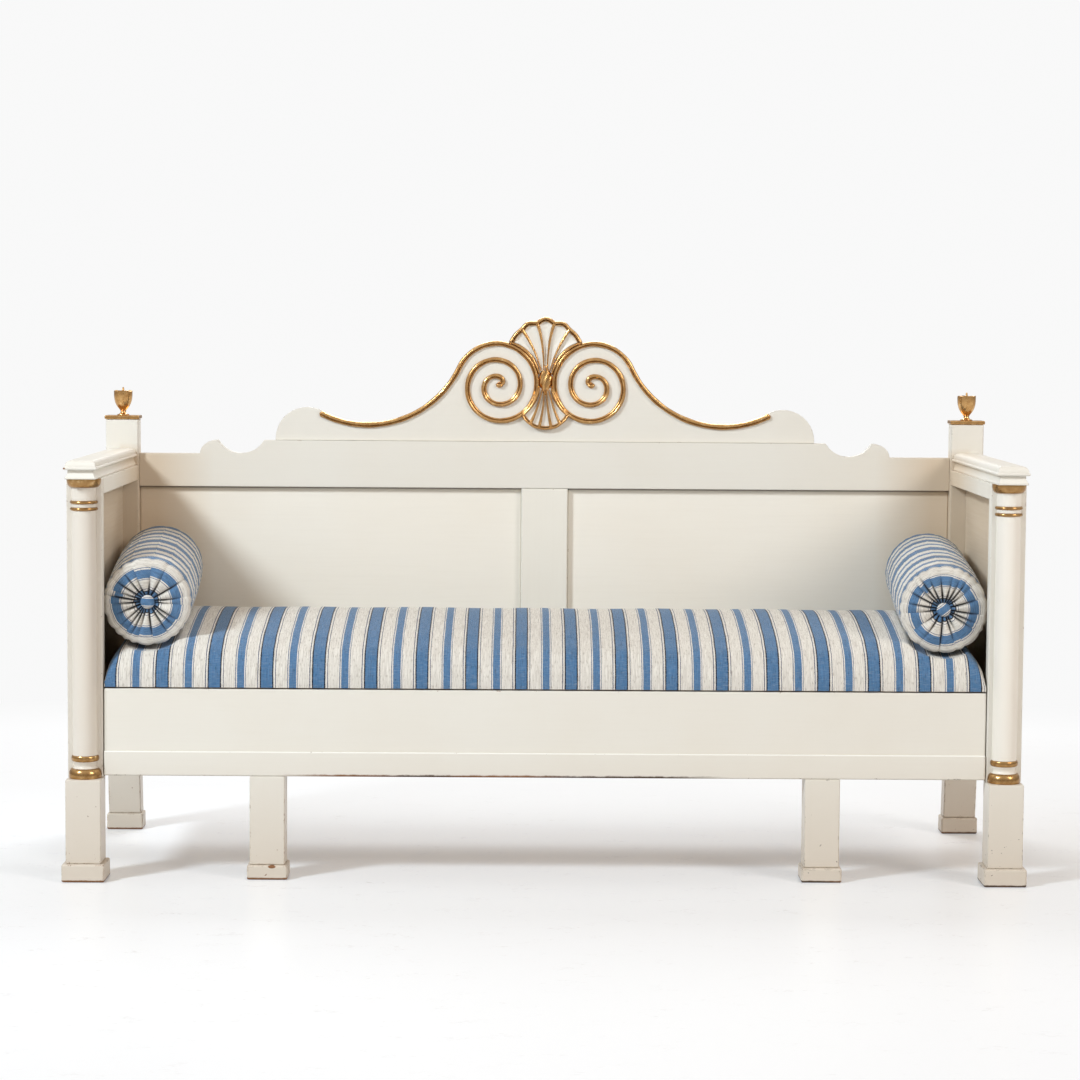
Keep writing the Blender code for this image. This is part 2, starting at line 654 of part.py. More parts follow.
def scroll_moulding(side, tag):
    """Half-round gilded bead with a ball at each end, planted on the crest."""
    path = scroll_path()
    runs = [0.0]
    for here, there in zip(path, path[1:]):
        runs.append(runs[-1] + (there - here).length)
    mesh_data = bmesh.new()
    sections = []
    for i, point in enumerate(path):
        ahead = path[min(i + 1, len(path) - 1)] - path[max(i - 1, 0)]
        across = Vector((-ahead.y, ahead.x)).normalized()
        from_end = min(runs[i], runs[-1] - runs[i])
        ball = math.sqrt(max(BALL_RADIUS**2 - (BALL_RADIUS - from_end) ** 2, 0))
        half = max(ball, BEAD_WIDTH / 2 if from_end > BALL_RADIUS else BEAD_WIDTH / 6)
        rise = BEAD_HEIGHT * math.sqrt(2 * half / BEAD_WIDTH)
        section = []
        for k in range(6):
            turn = math.pi * k / 5
            spot = point + across * half * math.cos(turn)
            depth = Y_CREST - FIT - rise * math.sin(turn)
            section.append(mesh_data.verts.new((-side * spot.x, depth, RAIL_TOP + spot.y)))
        sections.append(section)
    for one, two in zip(sections, sections[1:]):
        for k in range(6):
            n = (k + 1) % 6
            mesh_data.faces.new((one[k], one[n], two[n], two[k]))
    mesh_data.faces.new(sections[0])
    mesh_data.faces.new(sections[-1])
    solid(f"scroll_moulding_{tag}", mesh_data, GILT, smooth=50)


def fan_reach(root, rise_sign, radius, widest):
    """Widest half angle at which a fan point still clears the volute's bead."""
    angle = widest
    while angle > 1:
        lean = math.radians(angle)
        point = root + radius * Vector((-math.sin(lean), rise_sign * math.cos(lean))) - VOLUTE
        toward = math.degrees(math.atan2(point.y, point.x))
        if point.length > volute_radius(toward) + BEAD_WIDTH / 2 + FIT:
            break
        angle -= 0.25
    return angle


def shell(name, rise, sign, radius, lobe, widest, flutes):
    """A carved fan: hollow flutes between ribs, with a raised scalloped rim."""
    root = Vector((0, rise))
    columns = flutes * 4
    rows = 6
    mesh_data = bmesh.new()
    front, back = [], []
    for j in range(rows + 1):
        share = j / rows
        front_row, back_row = [], []
        for i in range(columns + 1):
            across = 2 * i / columns - 1
            flute = abs(math.sin(math.pi * flutes * i / columns))
            reach = FAN_ROOT + (radius + lobe * flute - FAN_ROOT) * share
            lean = math.radians(across * fan_reach(root, sign, reach, widest))
            x = root.x + reach * math.sin(lean)
            z = RAIL_TOP + root.y + sign * reach * math.cos(lean)
            hollow = FLUTE_THICKNESS + (RIB_THICKNESS - FLUTE_THICKNESS) * (1 - flute) ** 1.5
            thick = RIB_THICKNESS if j == rows else hollow
            front_row.append(mesh_data.verts.new((x, Y_CREST - FIT - thick, z)))
            back_row.append(mesh_data.verts.new((x, Y_CREST - FIT, z)))
        front.append(front_row)
        back.append(back_row)
    for j in range(rows):
        for i in range(columns):
            for grid in (front, back):
                mesh_data.faces.new((grid[j][i], grid[j][i + 1], grid[j + 1][i + 1], grid[j + 1][i]))
        for i in (0, columns):
            mesh_data.faces.new((front[j][i], front[j + 1][i], back[j + 1][i], back[j][i]))
    for i in range(columns):
        for j in (0, rows):
            mesh_data.faces.new((front[j][i], front[j][i + 1], back[j][i + 1], back[j][i]))
    solid(name, mesh_data, GILT, smooth=45)


def crest_carving():
    crest_board()
    for side, tag in SIDES:
        scroll_moulding(side, tag)
    shell("shell_upper", FAN_RISE, 1, FAN_RADIUS, FAN_LOBE, FAN_HALF_ANGLE, UPPER_FLUTES)
    shell("shell_lower", LOWER_FAN_RISE, -1, LOWER_FAN_RADIUS, 0, LOWER_FAN_HALF_ANGLE, LOWER_FLUTES)
    height = FAN_RISE - LOWER_FAN_RISE
    mesh_data = bmesh.new()
    bmesh.ops.create_uvsphere(mesh_data, u_segments=16, v_segments=10, radius=1.0)
    size = Matrix.Diagonal((BOSS_WIDTH / 2, BOSS_HEIGHT, height / 2, 1.0))
    bmesh.ops.transform(mesh_data, matrix=size, verts=mesh_data.verts)
    keep_front_half(mesh_data)
    middle = (0, Y_CREST - FIT, RAIL_TOP + (FAN_RISE + LOWER_FAN_RISE) / 2)
    bmesh.ops.translate(mesh_data, vec=middle, verts=mesh_data.verts)
    solid("shell_boss", mesh_data, GILT, smooth=60)


def seat_rails():
    """Fixed front rail, seat cleats and bed runners inside the carcass."""
    y_front = Y_STILE_BACK + FIT
    y_back = y_front + SEAT_RAIL_THICKNESS
    x_end = X_SIDE_RAIL - FIT
    block(
        "front_seat_rail",
        (-x_end, y_front, SEAT_LINE - SEAT_RAIL_HEIGHT),
        (x_end, y_back, SEAT_LINE),
        PINE,
    )
    for side, tag in SIDES:
        block(
            f"seat_cleat_{tag}",
            (side * (X_SIDE_RAIL - CLEAT_WIDTH), y_back + FIT, SEAT_LINE - CLEAT_HEIGHT),
            (side * x_end, Y_SEAT_LEDGE - FIT, SEAT_LINE),
            PINE,
        )
        block(
            f"bed_runner_{tag}",
            (side * (X_IN - BED_INSET - BED_SIDE_THICKNESS), y_front, Z_SIDE_RAIL),
            (side * x_end, Y_POST - FIT, Z_RUNNER),
            PINE,
        )


def pull_out_bed():
    """Apron, strip, legs and shallow bed box that slide forward as one."""
    slide = axis_empty("bed_slide_axis", (0, Y_APRON, Z_RUNNER))
    x_end = X_IN - SLIDE_GAP
    block(
        "apron_board",
        (-x_end, Y_APRON, Z_APRON),
        (x_end, Y_APRON_BACK, SEAT_LINE - APRON_DROP),
        PAINT,
        slide,
    )
    block(
        "apron_strip",
        (-x_end, Y_STRIP, Z_APRON),
        (x_end, Y_STRIP + STRIP_THICKNESS, Z_APRON + STRIP_HEIGHT),
        PAINT,
        slide,
    )
    low = Z_RUNNER + FIT
    bottom = low + BED_BOTTOM_RISE
    bottom_top = bottom + BED_BOTTOM_THICKNESS
    top = SEAT_LINE - SEAT_RAIL_HEIGHT - BED_CLEARANCE
    front = Y_APRON_BACK + FIT
    back = Y_RAIL - BED_BACK_GAP
    y_leg_back = Y_STRIP + PULL_LEG_DEPTH
    foot_top = PULL_FOOT_HEIGHT + FIT
    leg = [(Y_STRIP, foot_top), (Y_STRIP, Z_APRON - FIT), (front, Z_APRON - FIT)]
    leg += [(front, bottom - FIT), (y_leg_back, bottom - FIT), (y_leg_back, foot_top)]
    half = PULL_LEG_WIDTH / 2
    lip = PULL_FOOT_LIP
    outer = X_IN - BED_INSET
    inner = outer - BED_SIDE_THICKNESS
    deep = inner + GROOVE_DEPTH
    groove_top = bottom_top + FIT
    groove_low = bottom - FIT
    side_board = [(outer, low), (outer, top), (inner, top), (inner, groove_top)]
    side_board += [(deep, groove_top), (deep, groove_low), (inner, groove_low), (inner, low)]
    for side, tag in SIDES:
        middle = side * PULL_LEG_X
        ease(prism(f"pull_leg_{tag}", leg, "X", middle - half, middle + half, PAINT, slide))
        block(
            f"pull_foot_{tag}",
            (middle - half - lip, Y_STRIP - lip, 0),
            (middle + half + lip, y_leg_back + lip, PULL_FOOT_HEIGHT),
            PAINT,
            slide,
            segments=2,
            edge=FOOT_EASE,
        )
        prism(f"bed_side_{tag}", [(side * x, z) for x, z in side_board], "Y", front, back, PINE, slide)
    block(
        "bed_bottom",
        (-deep + FIT, front, bottom),
        (deep - FIT, back - BED_BACK_THICKNESS - FIT, bottom_top),
        PINE,
        slide,
    )
    block("bed_back", (-inner + FIT, back - BED_BACK_THICKNESS, low), (inner - FIT, back, top), PINE, slide)


SEAT_HALF = X_IN - SEAT_END_GAP
SEAT_FRONT = Y_APRON - SEAT_NOSE
SEAT_BACK = Y_RAIL - SEAT_BACK_GAP


def seat_height(x, y):
    """Top of the seat: rounded ends and edges, with a crown behind the middle."""
    deep = min(max((y - SEAT_FRONT) / (SEAT_BACK - SEAT_FRONT), 0), 1)
    end = math.sqrt(max(1 - abs(x / SEAT_HALF) ** SEAT_END_SQUARENESS, 0))
    edge = math.sqrt(max(1 - abs(2 * deep - 1) ** SEAT_EDGE_SQUARENESS, 0))
    crown = math.sin(math.pi * deep**SEAT_CROWN_SKEW)
    return Z_SEAT + SEAT_LIP + (SEAT_EDGE * edge + SEAT_CROWN * crown) * end


def loose_seat():
    """Board and sprung, stuffed top that lift out together."""
    lift = axis_empty("seat_lift_axis", (0, 0, Z_SEAT))
    x_board = SEAT_HALF - FABRIC_WRAP
    y_front = SEAT_FRONT + FABRIC_WRAP
    y_back = SEAT_BACK - FABRIC_WRAP
    board_top = Z_SEAT + SEAT_BOARD_THICKNESS
    block("seat_board", (-x_board, y_front, Z_SEAT), (x_board, y_back, board_top), PINE, lift)

    mesh_data = bmesh.new()
    top, bottom = [], []
    for j in range(SEAT_ROWS + 1):
        v = 2 * j / SEAT_ROWS - 1
        y = (SEAT_FRONT + SEAT_BACK) / 2 + (SEAT_BACK - SEAT_FRONT) / 2 * math.sin(math.pi / 2 * v)
        top_row, bottom_row = [], []
        for i in range(SEAT_COLUMNS + 1):
            u = 2 * i / SEAT_COLUMNS - 1
            x = SEAT_HALF * math.sin(math.pi / 2 * u)
            top_row.append(mesh_data.verts.new((x, y, seat_height(x, y))))
            if j in (0, SEAT_ROWS) or i in (0, SEAT_COLUMNS):
                bottom_row.append(mesh_data.verts.new((x, y, Z_SEAT)))
            else:
                bottom_row.append(None)
        top.append(top_row)
        bottom.append(bottom_row)
    for j in range(SEAT_ROWS):
        for i in range(SEAT_COLUMNS):
            mesh_data.faces.new((top[j][i], top[j][i + 1], top[j + 1][i + 1], top[j + 1][i]))
    ring = [(0, i) for i in range(SEAT_COLUMNS)]
    ring += [(j, SEAT_COLUMNS) for j in range(SEAT_ROWS)]
    ring += [(SEAT_ROWS, SEAT_COLUMNS - i) for i in range(SEAT_COLUMNS)]
    ring += [(SEAT_ROWS - j, 0) for j in range(SEAT_ROWS)]
    for (j, i), (q, p) in zip(ring, ring[1:] + ring[:1]):
        mesh_data.faces.new((top[j][i], top[q][p], bottom[q][p], bottom[j][i]))
    mesh_data.faces.new([bottom[j][i] for j, i in ring])
    pad = solid("seat_pad", mesh_data, TICKING, lift, smooth=40)
    pocket = block(
        "board_pocket_cutter",
        (-x_board - FIT, y_front - FIT, Z_SEAT - CUT_BEYOND),
        (x_board + FIT, y_back + FIT, board_top + FIT),
        PINE,
    )
    pocket.modifiers.clear()
    pocket.hide_render = True
    pocket.display_type = "WIRE"
    cut = pad.modifiers.new("board_pocket", "BOOLEAN")
    cut.operation = "DIFFERENCE"
    cut.object = pocket


def bolster_rings():
    """(radius, distance from the middle, pleat depth) from one end's middle to the other's."""
    half = BOLSTER_LENGTH / 2
    seat = BUTTON_RADIUS + BUTTON_GAP
    rim = BOLSTER_RADIUS
    dish = [
        (seat + RIM_ROUND, half - BUTTON_RECESS / 2),
        ((seat + rim) / 2, half - BUTTON_RECESS / 5),
        (rim - 3 * RIM_ROUND / 2, half),
        (rim - RIM_ROUND / 2, half - RIM_ROUND / 5),
    ]
    fade = rim - seat - RIM_ROUND
    end = [(seat, half - BUTTON_RECESS, 0.0)]
    end += [(radius, along, PLEAT_DEPTH * (rim - radius) / fade) for radius, along in dish]
    end += [(rim, half - RIM_ROUND, 0.0)]
    body = []
    for i in range(1, 6):
        along = 1 - i / 3
        body.append((rim + BOLSTER_BARREL * (1 - along**2), along * (half - RIM_ROUND), 0.0))
    return end + body + [(radius, -along, pleat) for radius, along, pleat in reversed(end)]


def bolster_place(side):
    """Turns a bolster's own frame, with its axis along Z, to its place between seat and arm."""
    yaw = math.radians(BOLSTER_YAW)
    pitch = math.radians(BOLSTER_PITCH)
    level = math.cos(pitch)
    back = Vector((side * math.sin(yaw) * level, math.cos(yaw) * level, math.sin(pitch)))
    across = back.cross(Vector((0, 0, 1))).normalized()
    up = across.cross(back)
    turn = Matrix((across, up, -back)).transposed().to_4x4()
    half = BOLSTER_LENGTH / 2
    rings = bolster_rings()
    around = [math.tau * k / 72 for k in range(72)]
    shell_points = []
    for radius, along, _ in rings:
        for angle in around:
            spot = Vector((radius * math.cos(angle), radius * math.sin(angle), along))
            shell_points.append(turn @ spot)
    reach = max(side * point.x for point in shell_points)
    x = side * (X_ARM_PANEL - FIT - reach)
    y = Y_STILE + BOLSTER_SETBACK + half * math.cos(yaw)
    drop = -10.0
    for point in shell_points:
        if abs(x + point.x) < SEAT_HALF and SEAT_FRONT < y + point.y < SEAT_BACK:
            drop = max(drop, seat_height(x + point.x, y + point.y) - point.z)
    return Matrix.Translation((x, y, drop + FIT)) @ turn


def bolster(side, tag):
    """Stuffed roll with gathered ends, each drawn in under a covered button."""
    place = bolster_place(side)
    lift = axis_empty(f"bolster_lift_axis_{tag}", place.translation)
    steps = 2 * BOLSTER_PLEATS
    half = BOLSTER_LENGTH / 2
    mesh_data = bmesh.new()
    rings = []
    for radius, along, pleat in bolster_rings():
        ring = []
        for k in range(steps):
            angle = math.tau * k / steps
            fold = pleat * (-1) ** k * (1 if along > 0 else -1)
            spot = (radius * math.cos(angle), radius * math.sin(angle), along + fold)
            ring.append(mesh_data.verts.new(spot))
        rings.append(ring)
    for one, two in zip(rings, rings[1:]):
        for k in range(steps):
            n = (k + 1) % steps
            mesh_data.faces.new((one[k], one[n], two[n], two[k]))
    mesh_data.faces.new(rings[0])
    mesh_data.faces.new(rings[-1])
    bmesh.ops.transform(mesh_data, matrix=place, verts=mesh_data.verts)
    solid(f"bolster_{tag}", mesh_data, TICKING, lift, smooth=30)
    for end, end_tag in ((1, "front"), (-1, "back")):
        profile = [(0, 0), (BUTTON_RADIUS, 0)]
        for i in range(1, 6):
            turn = math.pi / 2 * i / 5
            profile.append((BUTTON_RADIUS * math.cos(turn), BUTTON_HEIGHT * math.sin(turn)))
        profile[-1] = (0, BUTTON_HEIGHT)
        button = turned(profile, 16)
        seat = half - BUTTON_RECESS + FIT
        flip = Matrix.Identity(4) if end > 0 else Matrix.Rotation(math.pi, 4, "X")
        shape = place @ Matrix.Translation((0, 0, end * seat)) @ flip
        bmesh.ops.transform(button, matrix=shape, verts=button.verts)
        solid(f"bolster_button_{end_tag}_{tag}", button, TICKING, lift, smooth=50)


SIDES = ((-1, "left"), (1, "right"))
for side, tag in SIDES:
    front_post(side, tag)
    arm(side, tag)
    rear_post(side, tag)
back_frame()
crest_carving()
seat_rails()
pull_out_bed()
loose_seat()
for side, tag in SIDES:
    bolster(side, tag)
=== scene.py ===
import json
import math

import bmesh
import bpy
import numpy as np
from mathutils import Matrix, Vector

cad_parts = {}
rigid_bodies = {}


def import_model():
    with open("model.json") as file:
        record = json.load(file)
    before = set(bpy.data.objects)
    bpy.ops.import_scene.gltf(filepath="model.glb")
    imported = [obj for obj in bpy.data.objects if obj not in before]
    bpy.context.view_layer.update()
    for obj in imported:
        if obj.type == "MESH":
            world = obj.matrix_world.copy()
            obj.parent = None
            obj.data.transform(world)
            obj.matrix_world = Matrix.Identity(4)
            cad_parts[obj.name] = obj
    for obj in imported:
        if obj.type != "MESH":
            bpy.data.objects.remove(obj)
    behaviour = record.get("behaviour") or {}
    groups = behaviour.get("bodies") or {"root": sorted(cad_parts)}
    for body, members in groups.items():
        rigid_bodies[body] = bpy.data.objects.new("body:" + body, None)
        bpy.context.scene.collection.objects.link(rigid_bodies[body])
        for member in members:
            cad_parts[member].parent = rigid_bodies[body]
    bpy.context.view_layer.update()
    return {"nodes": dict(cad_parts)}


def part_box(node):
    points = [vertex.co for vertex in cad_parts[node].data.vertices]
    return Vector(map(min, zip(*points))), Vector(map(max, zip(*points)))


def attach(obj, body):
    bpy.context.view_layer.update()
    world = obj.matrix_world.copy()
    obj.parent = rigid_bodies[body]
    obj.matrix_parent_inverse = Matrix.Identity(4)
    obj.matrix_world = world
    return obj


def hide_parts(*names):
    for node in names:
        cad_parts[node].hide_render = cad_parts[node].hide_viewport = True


for leftover in list(bpy.data.objects):
    bpy.data.objects.remove(leftover)
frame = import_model()
SIDES = ((-1, "left"), (1, "right"))

# Front corner posts: a block foot under a square plinth, with a flat stile standing on it.
# They are pine, brushed with several coats of warm ivory oil paint that has chipped along
# the arrises, most of all near the floor where shoes and brooms have knocked it.


def feed(node, inputs):
    """Gives a shader node its inputs, as constants or as links."""
    for key, value in dict(inputs).items():
        if isinstance(value, bpy.types.NodeSocket):
            node.id_data.links.new(value, node.inputs[key])
        else:
            node.inputs[key].default_value = value


def add(tree, kind, inputs=(), **settings):
    """One shader node with its settings and inputs."""
    made = tree.nodes.new(kind)
    for key, value in settings.items():
        setattr(made, key, value)
    feed(made, inputs)
    return made


def spread(value, start, end, low=0.0, high=1.0):
    """Stretches a value between two limits over a new range, and stops at its ends."""
    inputs = {"Value": value, "From Min": start, "From Max": end, "To Min": low, "To Max": high}
    return add(value.id_data, "ShaderNodeMapRange", inputs).outputs[0]


def sums(operation, first, second):
    """One step of arithmetic on two values."""
    return add(first.id_data, "ShaderNodeMath", {0: first, 1: second}, operation=operation).outputs[0]


def times(first, second):
    return sums("MULTIPLY", first, second)


def larger(first, second):
    return sums("MAXIMUM", first, second)


def tint(share, first, second, blend="MIX"):
    """Lays a second colour over a first one by a share."""
    tree = (first if isinstance(share, float) else share).id_data
    under, over = ((*colour, 1.0) if isinstance(colour, tuple) else colour for colour in (first, second))
    inputs = {0: share, 6: under, 7: over}
    return add(tree, "ShaderNodeMix", inputs, data_type="RGBA", blend_type=blend).outputs[2]


def noise(place, scale, detail=3.0, rough=0.5, stretch=(1.0, 1.0, 1.0)):
    """Uneven cloudiness from 0 to 1, finer along the axes with a larger stretch."""
    where = add(place.id_data, "ShaderNodeMapping", {"Vector": place, "Scale": stretch}).outputs[0]
    inputs = {"Vector": where, "Scale": scale, "Detail": detail, "Roughness": rough}
    return add(place.id_data, "ShaderNodeTexNoise", inputs).outputs[0]


def along_grain(grain, along, across):
    """A stretch for each axis: one along the grain, another across it."""
    return [along if axis == grain else across for axis in "XYZ"]


def distance(place, stretch):
    """How far a place lies from the origin, with its axes stretched."""
    tree = place.id_data
    place = add(tree, "ShaderNodeVectorMath", {0: place, 1: stretch}, operation="MULTIPLY").outputs[0]
    return add(tree, "ShaderNodeVectorMath", {0: place}, operation="LENGTH").outputs["Value"]


def relief(height, strength, depth=0.0005, **under):
    """Lets a height stand out of the surface a little, on top of an edge's normal if one is given."""
    inputs = {"Strength": strength, "Distance": depth, "Height": height, **under}
    return add(height.id_data, "ShaderNodeBump", inputs).outputs[0]


def new_finish(name):
    """A finish to be filled in: the material, its node tree and its shader."""
    material = bpy.data.materials.new(name)
    material.use_nodes = True
    return material, material.node_tree, material.node_tree.nodes["Principled BSDF"]


IVORY, IVORY_AGED, BRUSH_MARK = (0.80, 0.775, 0.70), (0.785, 0.75, 0.665), (0.70, 0.65, 0.55)
FLOOR_DIRT, RECESS_SHADE, EDGE_GRIME = (0.67, 0.595, 0.495), (0.83, 0.72, 0.61), (0.40, 0.31, 0.22)
DUST_AND_SHADOW_LINE, PALE_RUB_AND_HIGHLIGHT = (0.16, 0.115, 0.08), (0.93, 0.92, 0.87)
BARE_WOOD, DARK_WOOD = (0.23, 0.095, 0.032), (0.075, 0.042, 0.024)
BRUSH_LONG, BRUSH_FINE = 7.0, 210.0
ARRIS = 0.0028


def oil_paint(
    name, grain, bare_edge=None, knock=None, dust_and_shade=None, rubbed=None, cast=(1.0, 1.0, 1.0), shade_from=-0.12
):
    """Brushed ivory paint. An edge may be rubbed bare between (low, high, left, right), a knock sit
    at a (place, size), dust and a painted shadow line lie under an edge at a height, a top edge at a
    height be rubbed pale with a painted highlight, and a cast lie over all. Inside the arms painted
    shade darkens it, more and more from shade_from to the back; near the floor a thin dark band is
    painted contact shade."""
    material, tree, shader = new_finish(name)
    place = add(tree, "ShaderNodeTexCoord").outputs["Object"]
    spot = add(tree, "ShaderNodeSeparateXYZ", {0: place}).outputs
    brush = noise(place, 1.0, 3.0, 0.55, along_grain(grain, BRUSH_LONG, BRUSH_FINE))
    cloud = noise(place, 2.7, 4.0)
    tone = tint(spread(cloud, 0.36, 0.66), IVORY, IVORY_AGED)
    tone = tint(1.0, tone, cast, "MULTIPLY")
    tone = tint(spread(brush, 0.45, 0.8, 0.0, 0.08), tone, BRUSH_MARK)
    dirt_top, dirt_floor = 0.265, 0.02
    tone = tint(spread(spot["Z"], dirt_top, dirt_floor, 0.0, 0.9), tone, FLOOR_DIRT)
    # Painted shade: low inside the arms, between seat and cap, the paint darkens towards the back.
    beside_arm, arm_face, above_seat, below_cap = (0.75, 0.88), (0.964, 0.957), (0.36, 0.44), (0.885, 0.855)
    aside = sums("ABSOLUTE", spot["X"], 0.0)
    aside = times(spread(aside, *beside_arm), spread(aside, *arm_face))
    shaded_recess = times(spread(spot["Z"], *above_seat), spread(spot["Z"], *below_cap))
    shaded_recess = times(shaded_recess, spread(spot["Y"], shade_from, shade_from + 0.28))
    tone = tint(times(aside, shaded_recess), tone, RECESS_SHADE, "MULTIPLY")
    # Under an edge at a given height a dark line is painted: the edge's shadow, with dust in the quirk.
    if dust_and_shade is not None:
        tone = tint(spread(spot["Z"], dust_and_shade - 0.0050, dust_and_shade - 0.0024, 0.0, 0.85), tone, DUST_AND_SHADOW_LINE)
    # A pale line under a top edge is a painted highlight where the edge catches light, and paint rubbed
    # pale.
    if rubbed is not None:
        tone = tint(spread(spot["Z"], rubbed - 0.0032, rubbed - 0.0014, 0.0, 0.8), tone, PALE_RUB_AND_HIGHLIGHT)

    soft_edge = add(tree, "ShaderNodeBevel", {"Radius": ARRIS}, samples=4).outputs[0]
    face = add(tree, "ShaderNodeNewGeometry").outputs["Normal"]
    square = add(tree, "ShaderNodeVectorMath", {0: soft_edge, 1: face}, operation="DOT_PRODUCT")
    edge = spread(square.outputs["Value"], 0.992, 0.90)
    low = spread(spot["Z"], 0.27, 0.03)
    flake = noise(place, 62.0, 5.0, 0.62)
    ready = sums("ADD", flake, times(low, 0.105))
    bare = times(edge, spread(ready, 0.645, 0.67))
    grime = times(times(edge, low), spread(ready, 0.48, 0.66, 0.1, 0.6))
    tone = tint(grime, tone, EDGE_GRIME)

    speck = add(tree, "ShaderNodeTexVoronoi", {"Vector": place, "Scale": 11.0, "Randomness": 1.0}).outputs
    chosen = add(tree, "ShaderNodeSeparateColor", {0: speck["Color"]}).outputs[0]
    dot = times(spread(speck["Distance"], 0.026, 0.014), spread(chosen, 0.93, 0.94))
    bare = larger(bare, times(dot, 0.8))
    # A thin dark band along the floor, coloured like bare wood, is painted contact shade.
    floor_contact_shade = sums("ADD", spot["Z"], times(flake, -0.004))
    bare = larger(bare, spread(floor_contact_shade, 0.0032, 0.0012))
    chip = sums("ADD", noise(place, 150.0, 2.0), times(low, 0.055))
    bare = larger(bare, times(spread(chip, 0.775, 0.79), low))
    if knock is not None:
        middle, size = knock
        away = add(tree, "ShaderNodeVectorMath", {0: place, 1: middle}, operation="SUBTRACT").outputs[0]
        away = sums("ADD", distance(away, (1.0, 0.6, 2.6)), times(flake, 0.010))
        bare = larger(bare, spread(away, size + 0.0060, size + 0.0048))
    if bare_edge is not None:
        bottom, top, left, right = bare_edge
        fade = 0.12
        strip = spread(sums("ADD", spot["Z"], times(flake, 0.006)), top, bottom)
        ends = (spread(spot["X"], end, end + way * fade) for end, way in ((left, 1), (right, -1)))
        bare = larger(bare, times(strip, times(*ends)))
    wood = tint(spread(cloud, 0.45, 0.55), BARE_WOOD, DARK_WOOD)
    gloss = sums("ADD", spread(brush, 0.3, 0.75, 0.32, 0.44), times(bare, 0.3))
    raised = relief(sums("SUBTRACT", times(brush, 0.35), bare), 0.14, 0.0006, Normal=soft_edge)
    feed(shader, {"Base Color": tint(bare, tone, wood), "Roughness": gloss, "Normal": raised})
    return material


def dress(material, *names):
    """Gives a finish to nodes of the frame, a left and right pair by its shared name."""
    for name in names:
        for node in (name, f"{name}_left", f"{name}_right"):
            if node in frame["nodes"]:
                for slot in frame["nodes"][node].material_slots:
                    slot.material = material


upright_paint = oil_paint("ivory_paint_upright", "Z")
dress(upright_paint, "front_foot", "front_plinth", "front_stile")
# The left front post is given a darker, warmer cast than the right.
darker_left_paint = oil_paint("ivory_paint_darker_left", "Z", cast=(0.93, 0.90, 0.88))
dress(darker_left_paint, "front_foot_left", "front_plinth_left", "front_stile_left")

# Half columns: pine turnings sawn in two along their length and glued to the stiles.
# The shaft and its hollow neck are painted; the capital, the two neck rings, the base ring
# and the bell under it are gilded over a brown ground that shows where the leaf has worn.
LEAF_DEEP, LEAF, LEAF_HIGHLIGHT = (0.43, 0.222, 0.076), (0.70, 0.425, 0.175), (0.92, 0.69, 0.39)
BROWN_GROUND_AND_SHADE = (0.15, 0.068, 0.022)


def leaf_gold(name, dulled=1.0):
    """Worn gilding: uneven gold over a brown ground, with painted shade in the hollows and painted
    highlights in the brightest patches, darkened as a whole by the dulled factor.
    """
    material, tree, shader = new_finish(name)
    place = add(tree, "ShaderNodeTexCoord").outputs["Object"]
    cloud = noise(place, 85.0, 5.0, 0.6)
    leaf = tint(spread(cloud, 0.28, 0.70), LEAF_DEEP, LEAF)
    # The brightest patches of leaf, laid by noise, are painted highlights.
    leaf = tint(spread(cloud, 0.62, 0.78), leaf, LEAF_HIGHLIGHT)
    leaf = tint(1.0, leaf, (dulled, dulled, dulled), "MULTIPLY")
    rub = noise(place, 46.0, 6.0, 0.68)
    # Hollows found by pointiness are painted with the brown ground as shade, besides the rubbed places.
    deep = add(tree, "ShaderNodeNewGeometry").outputs["Pointiness"]
    ground = larger(spread(rub, 0.64, 0.71), spread(deep, 0.488, 0.435))
    grain = sums("SUBTRACT", noise(place, 380.0, 3.0), times(ground, 0.6))
    feed(shader, {
        "Base Color": tint(ground, leaf, BROWN_GROUND_AND_SHADE),
        "Metallic": spread(ground, 0.0, 1.0, 1.0, 0.35),
        "Roughness": spread(cloud, 0.3, 0.7, 0.30, 0.17),
        "Normal": relief(grain, 0.14),
    })
    return material


scene = bpy.context.scene


def put(name, data):
    """An object of a mesh, a lamp or a lens, in the scene."""
    made = bpy.data.objects.new(name, data)
    scene.collection.objects.link(made)
    return made


def fit_piece(name, mesh_data, material, stands_for=(), sharp=35.0, body="carcass"):
    """Makes one object of a mesh, shades it, and fixes it to a body of the frame."""
    bmesh.ops.recalc_face_normals(mesh_data, faces=mesh_data.faces)
    mesh = bpy.data.meshes.new(name)
    mesh_data.to_mesh(mesh)
    mesh_data.free()
    mesh.materials.append(material)
    mesh.shade_smooth()
    mesh.set_sharp_from_angle(angle=math.radians(sharp))
    made = put(name, mesh)
    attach(made, body)
    if stands_for:
        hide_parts(*stands_for)
    return made


def stitch(mesh_data, rows, closed=False):
    """Faces between rows of points; a closed row runs round to its first point again."""
    for one, two in zip(rows, rows[1:]):
        for i in range(len(one) if closed else len(one) - 1):
            n = (i + 1) % len(one)
            mesh_data.faces.new((one[i], one[n], two[n], two[i]))


def half_turning(profile, x, face, steps=56):
    """Half of a turning, from (radius, height) pairs, with its flat back on a face towards -Y."""
    mesh_data = bmesh.new()
    rows = []
    for k in range(steps + 1):
        turn = math.pi * k / steps
        across, out = math.cos(turn), math.sin(turn)
        rows.append([mesh_data.verts.new((x + r * across, face - r * out, z)) for r, z in profile])
    stitch(mesh_data, rows)
    mesh_data.faces.new(rows[0] + rows[-1][::-1])
    bmesh.ops.remove_doubles(mesh_data, verts=mesh_data.verts, dist=1e-6)
    return mesh_data


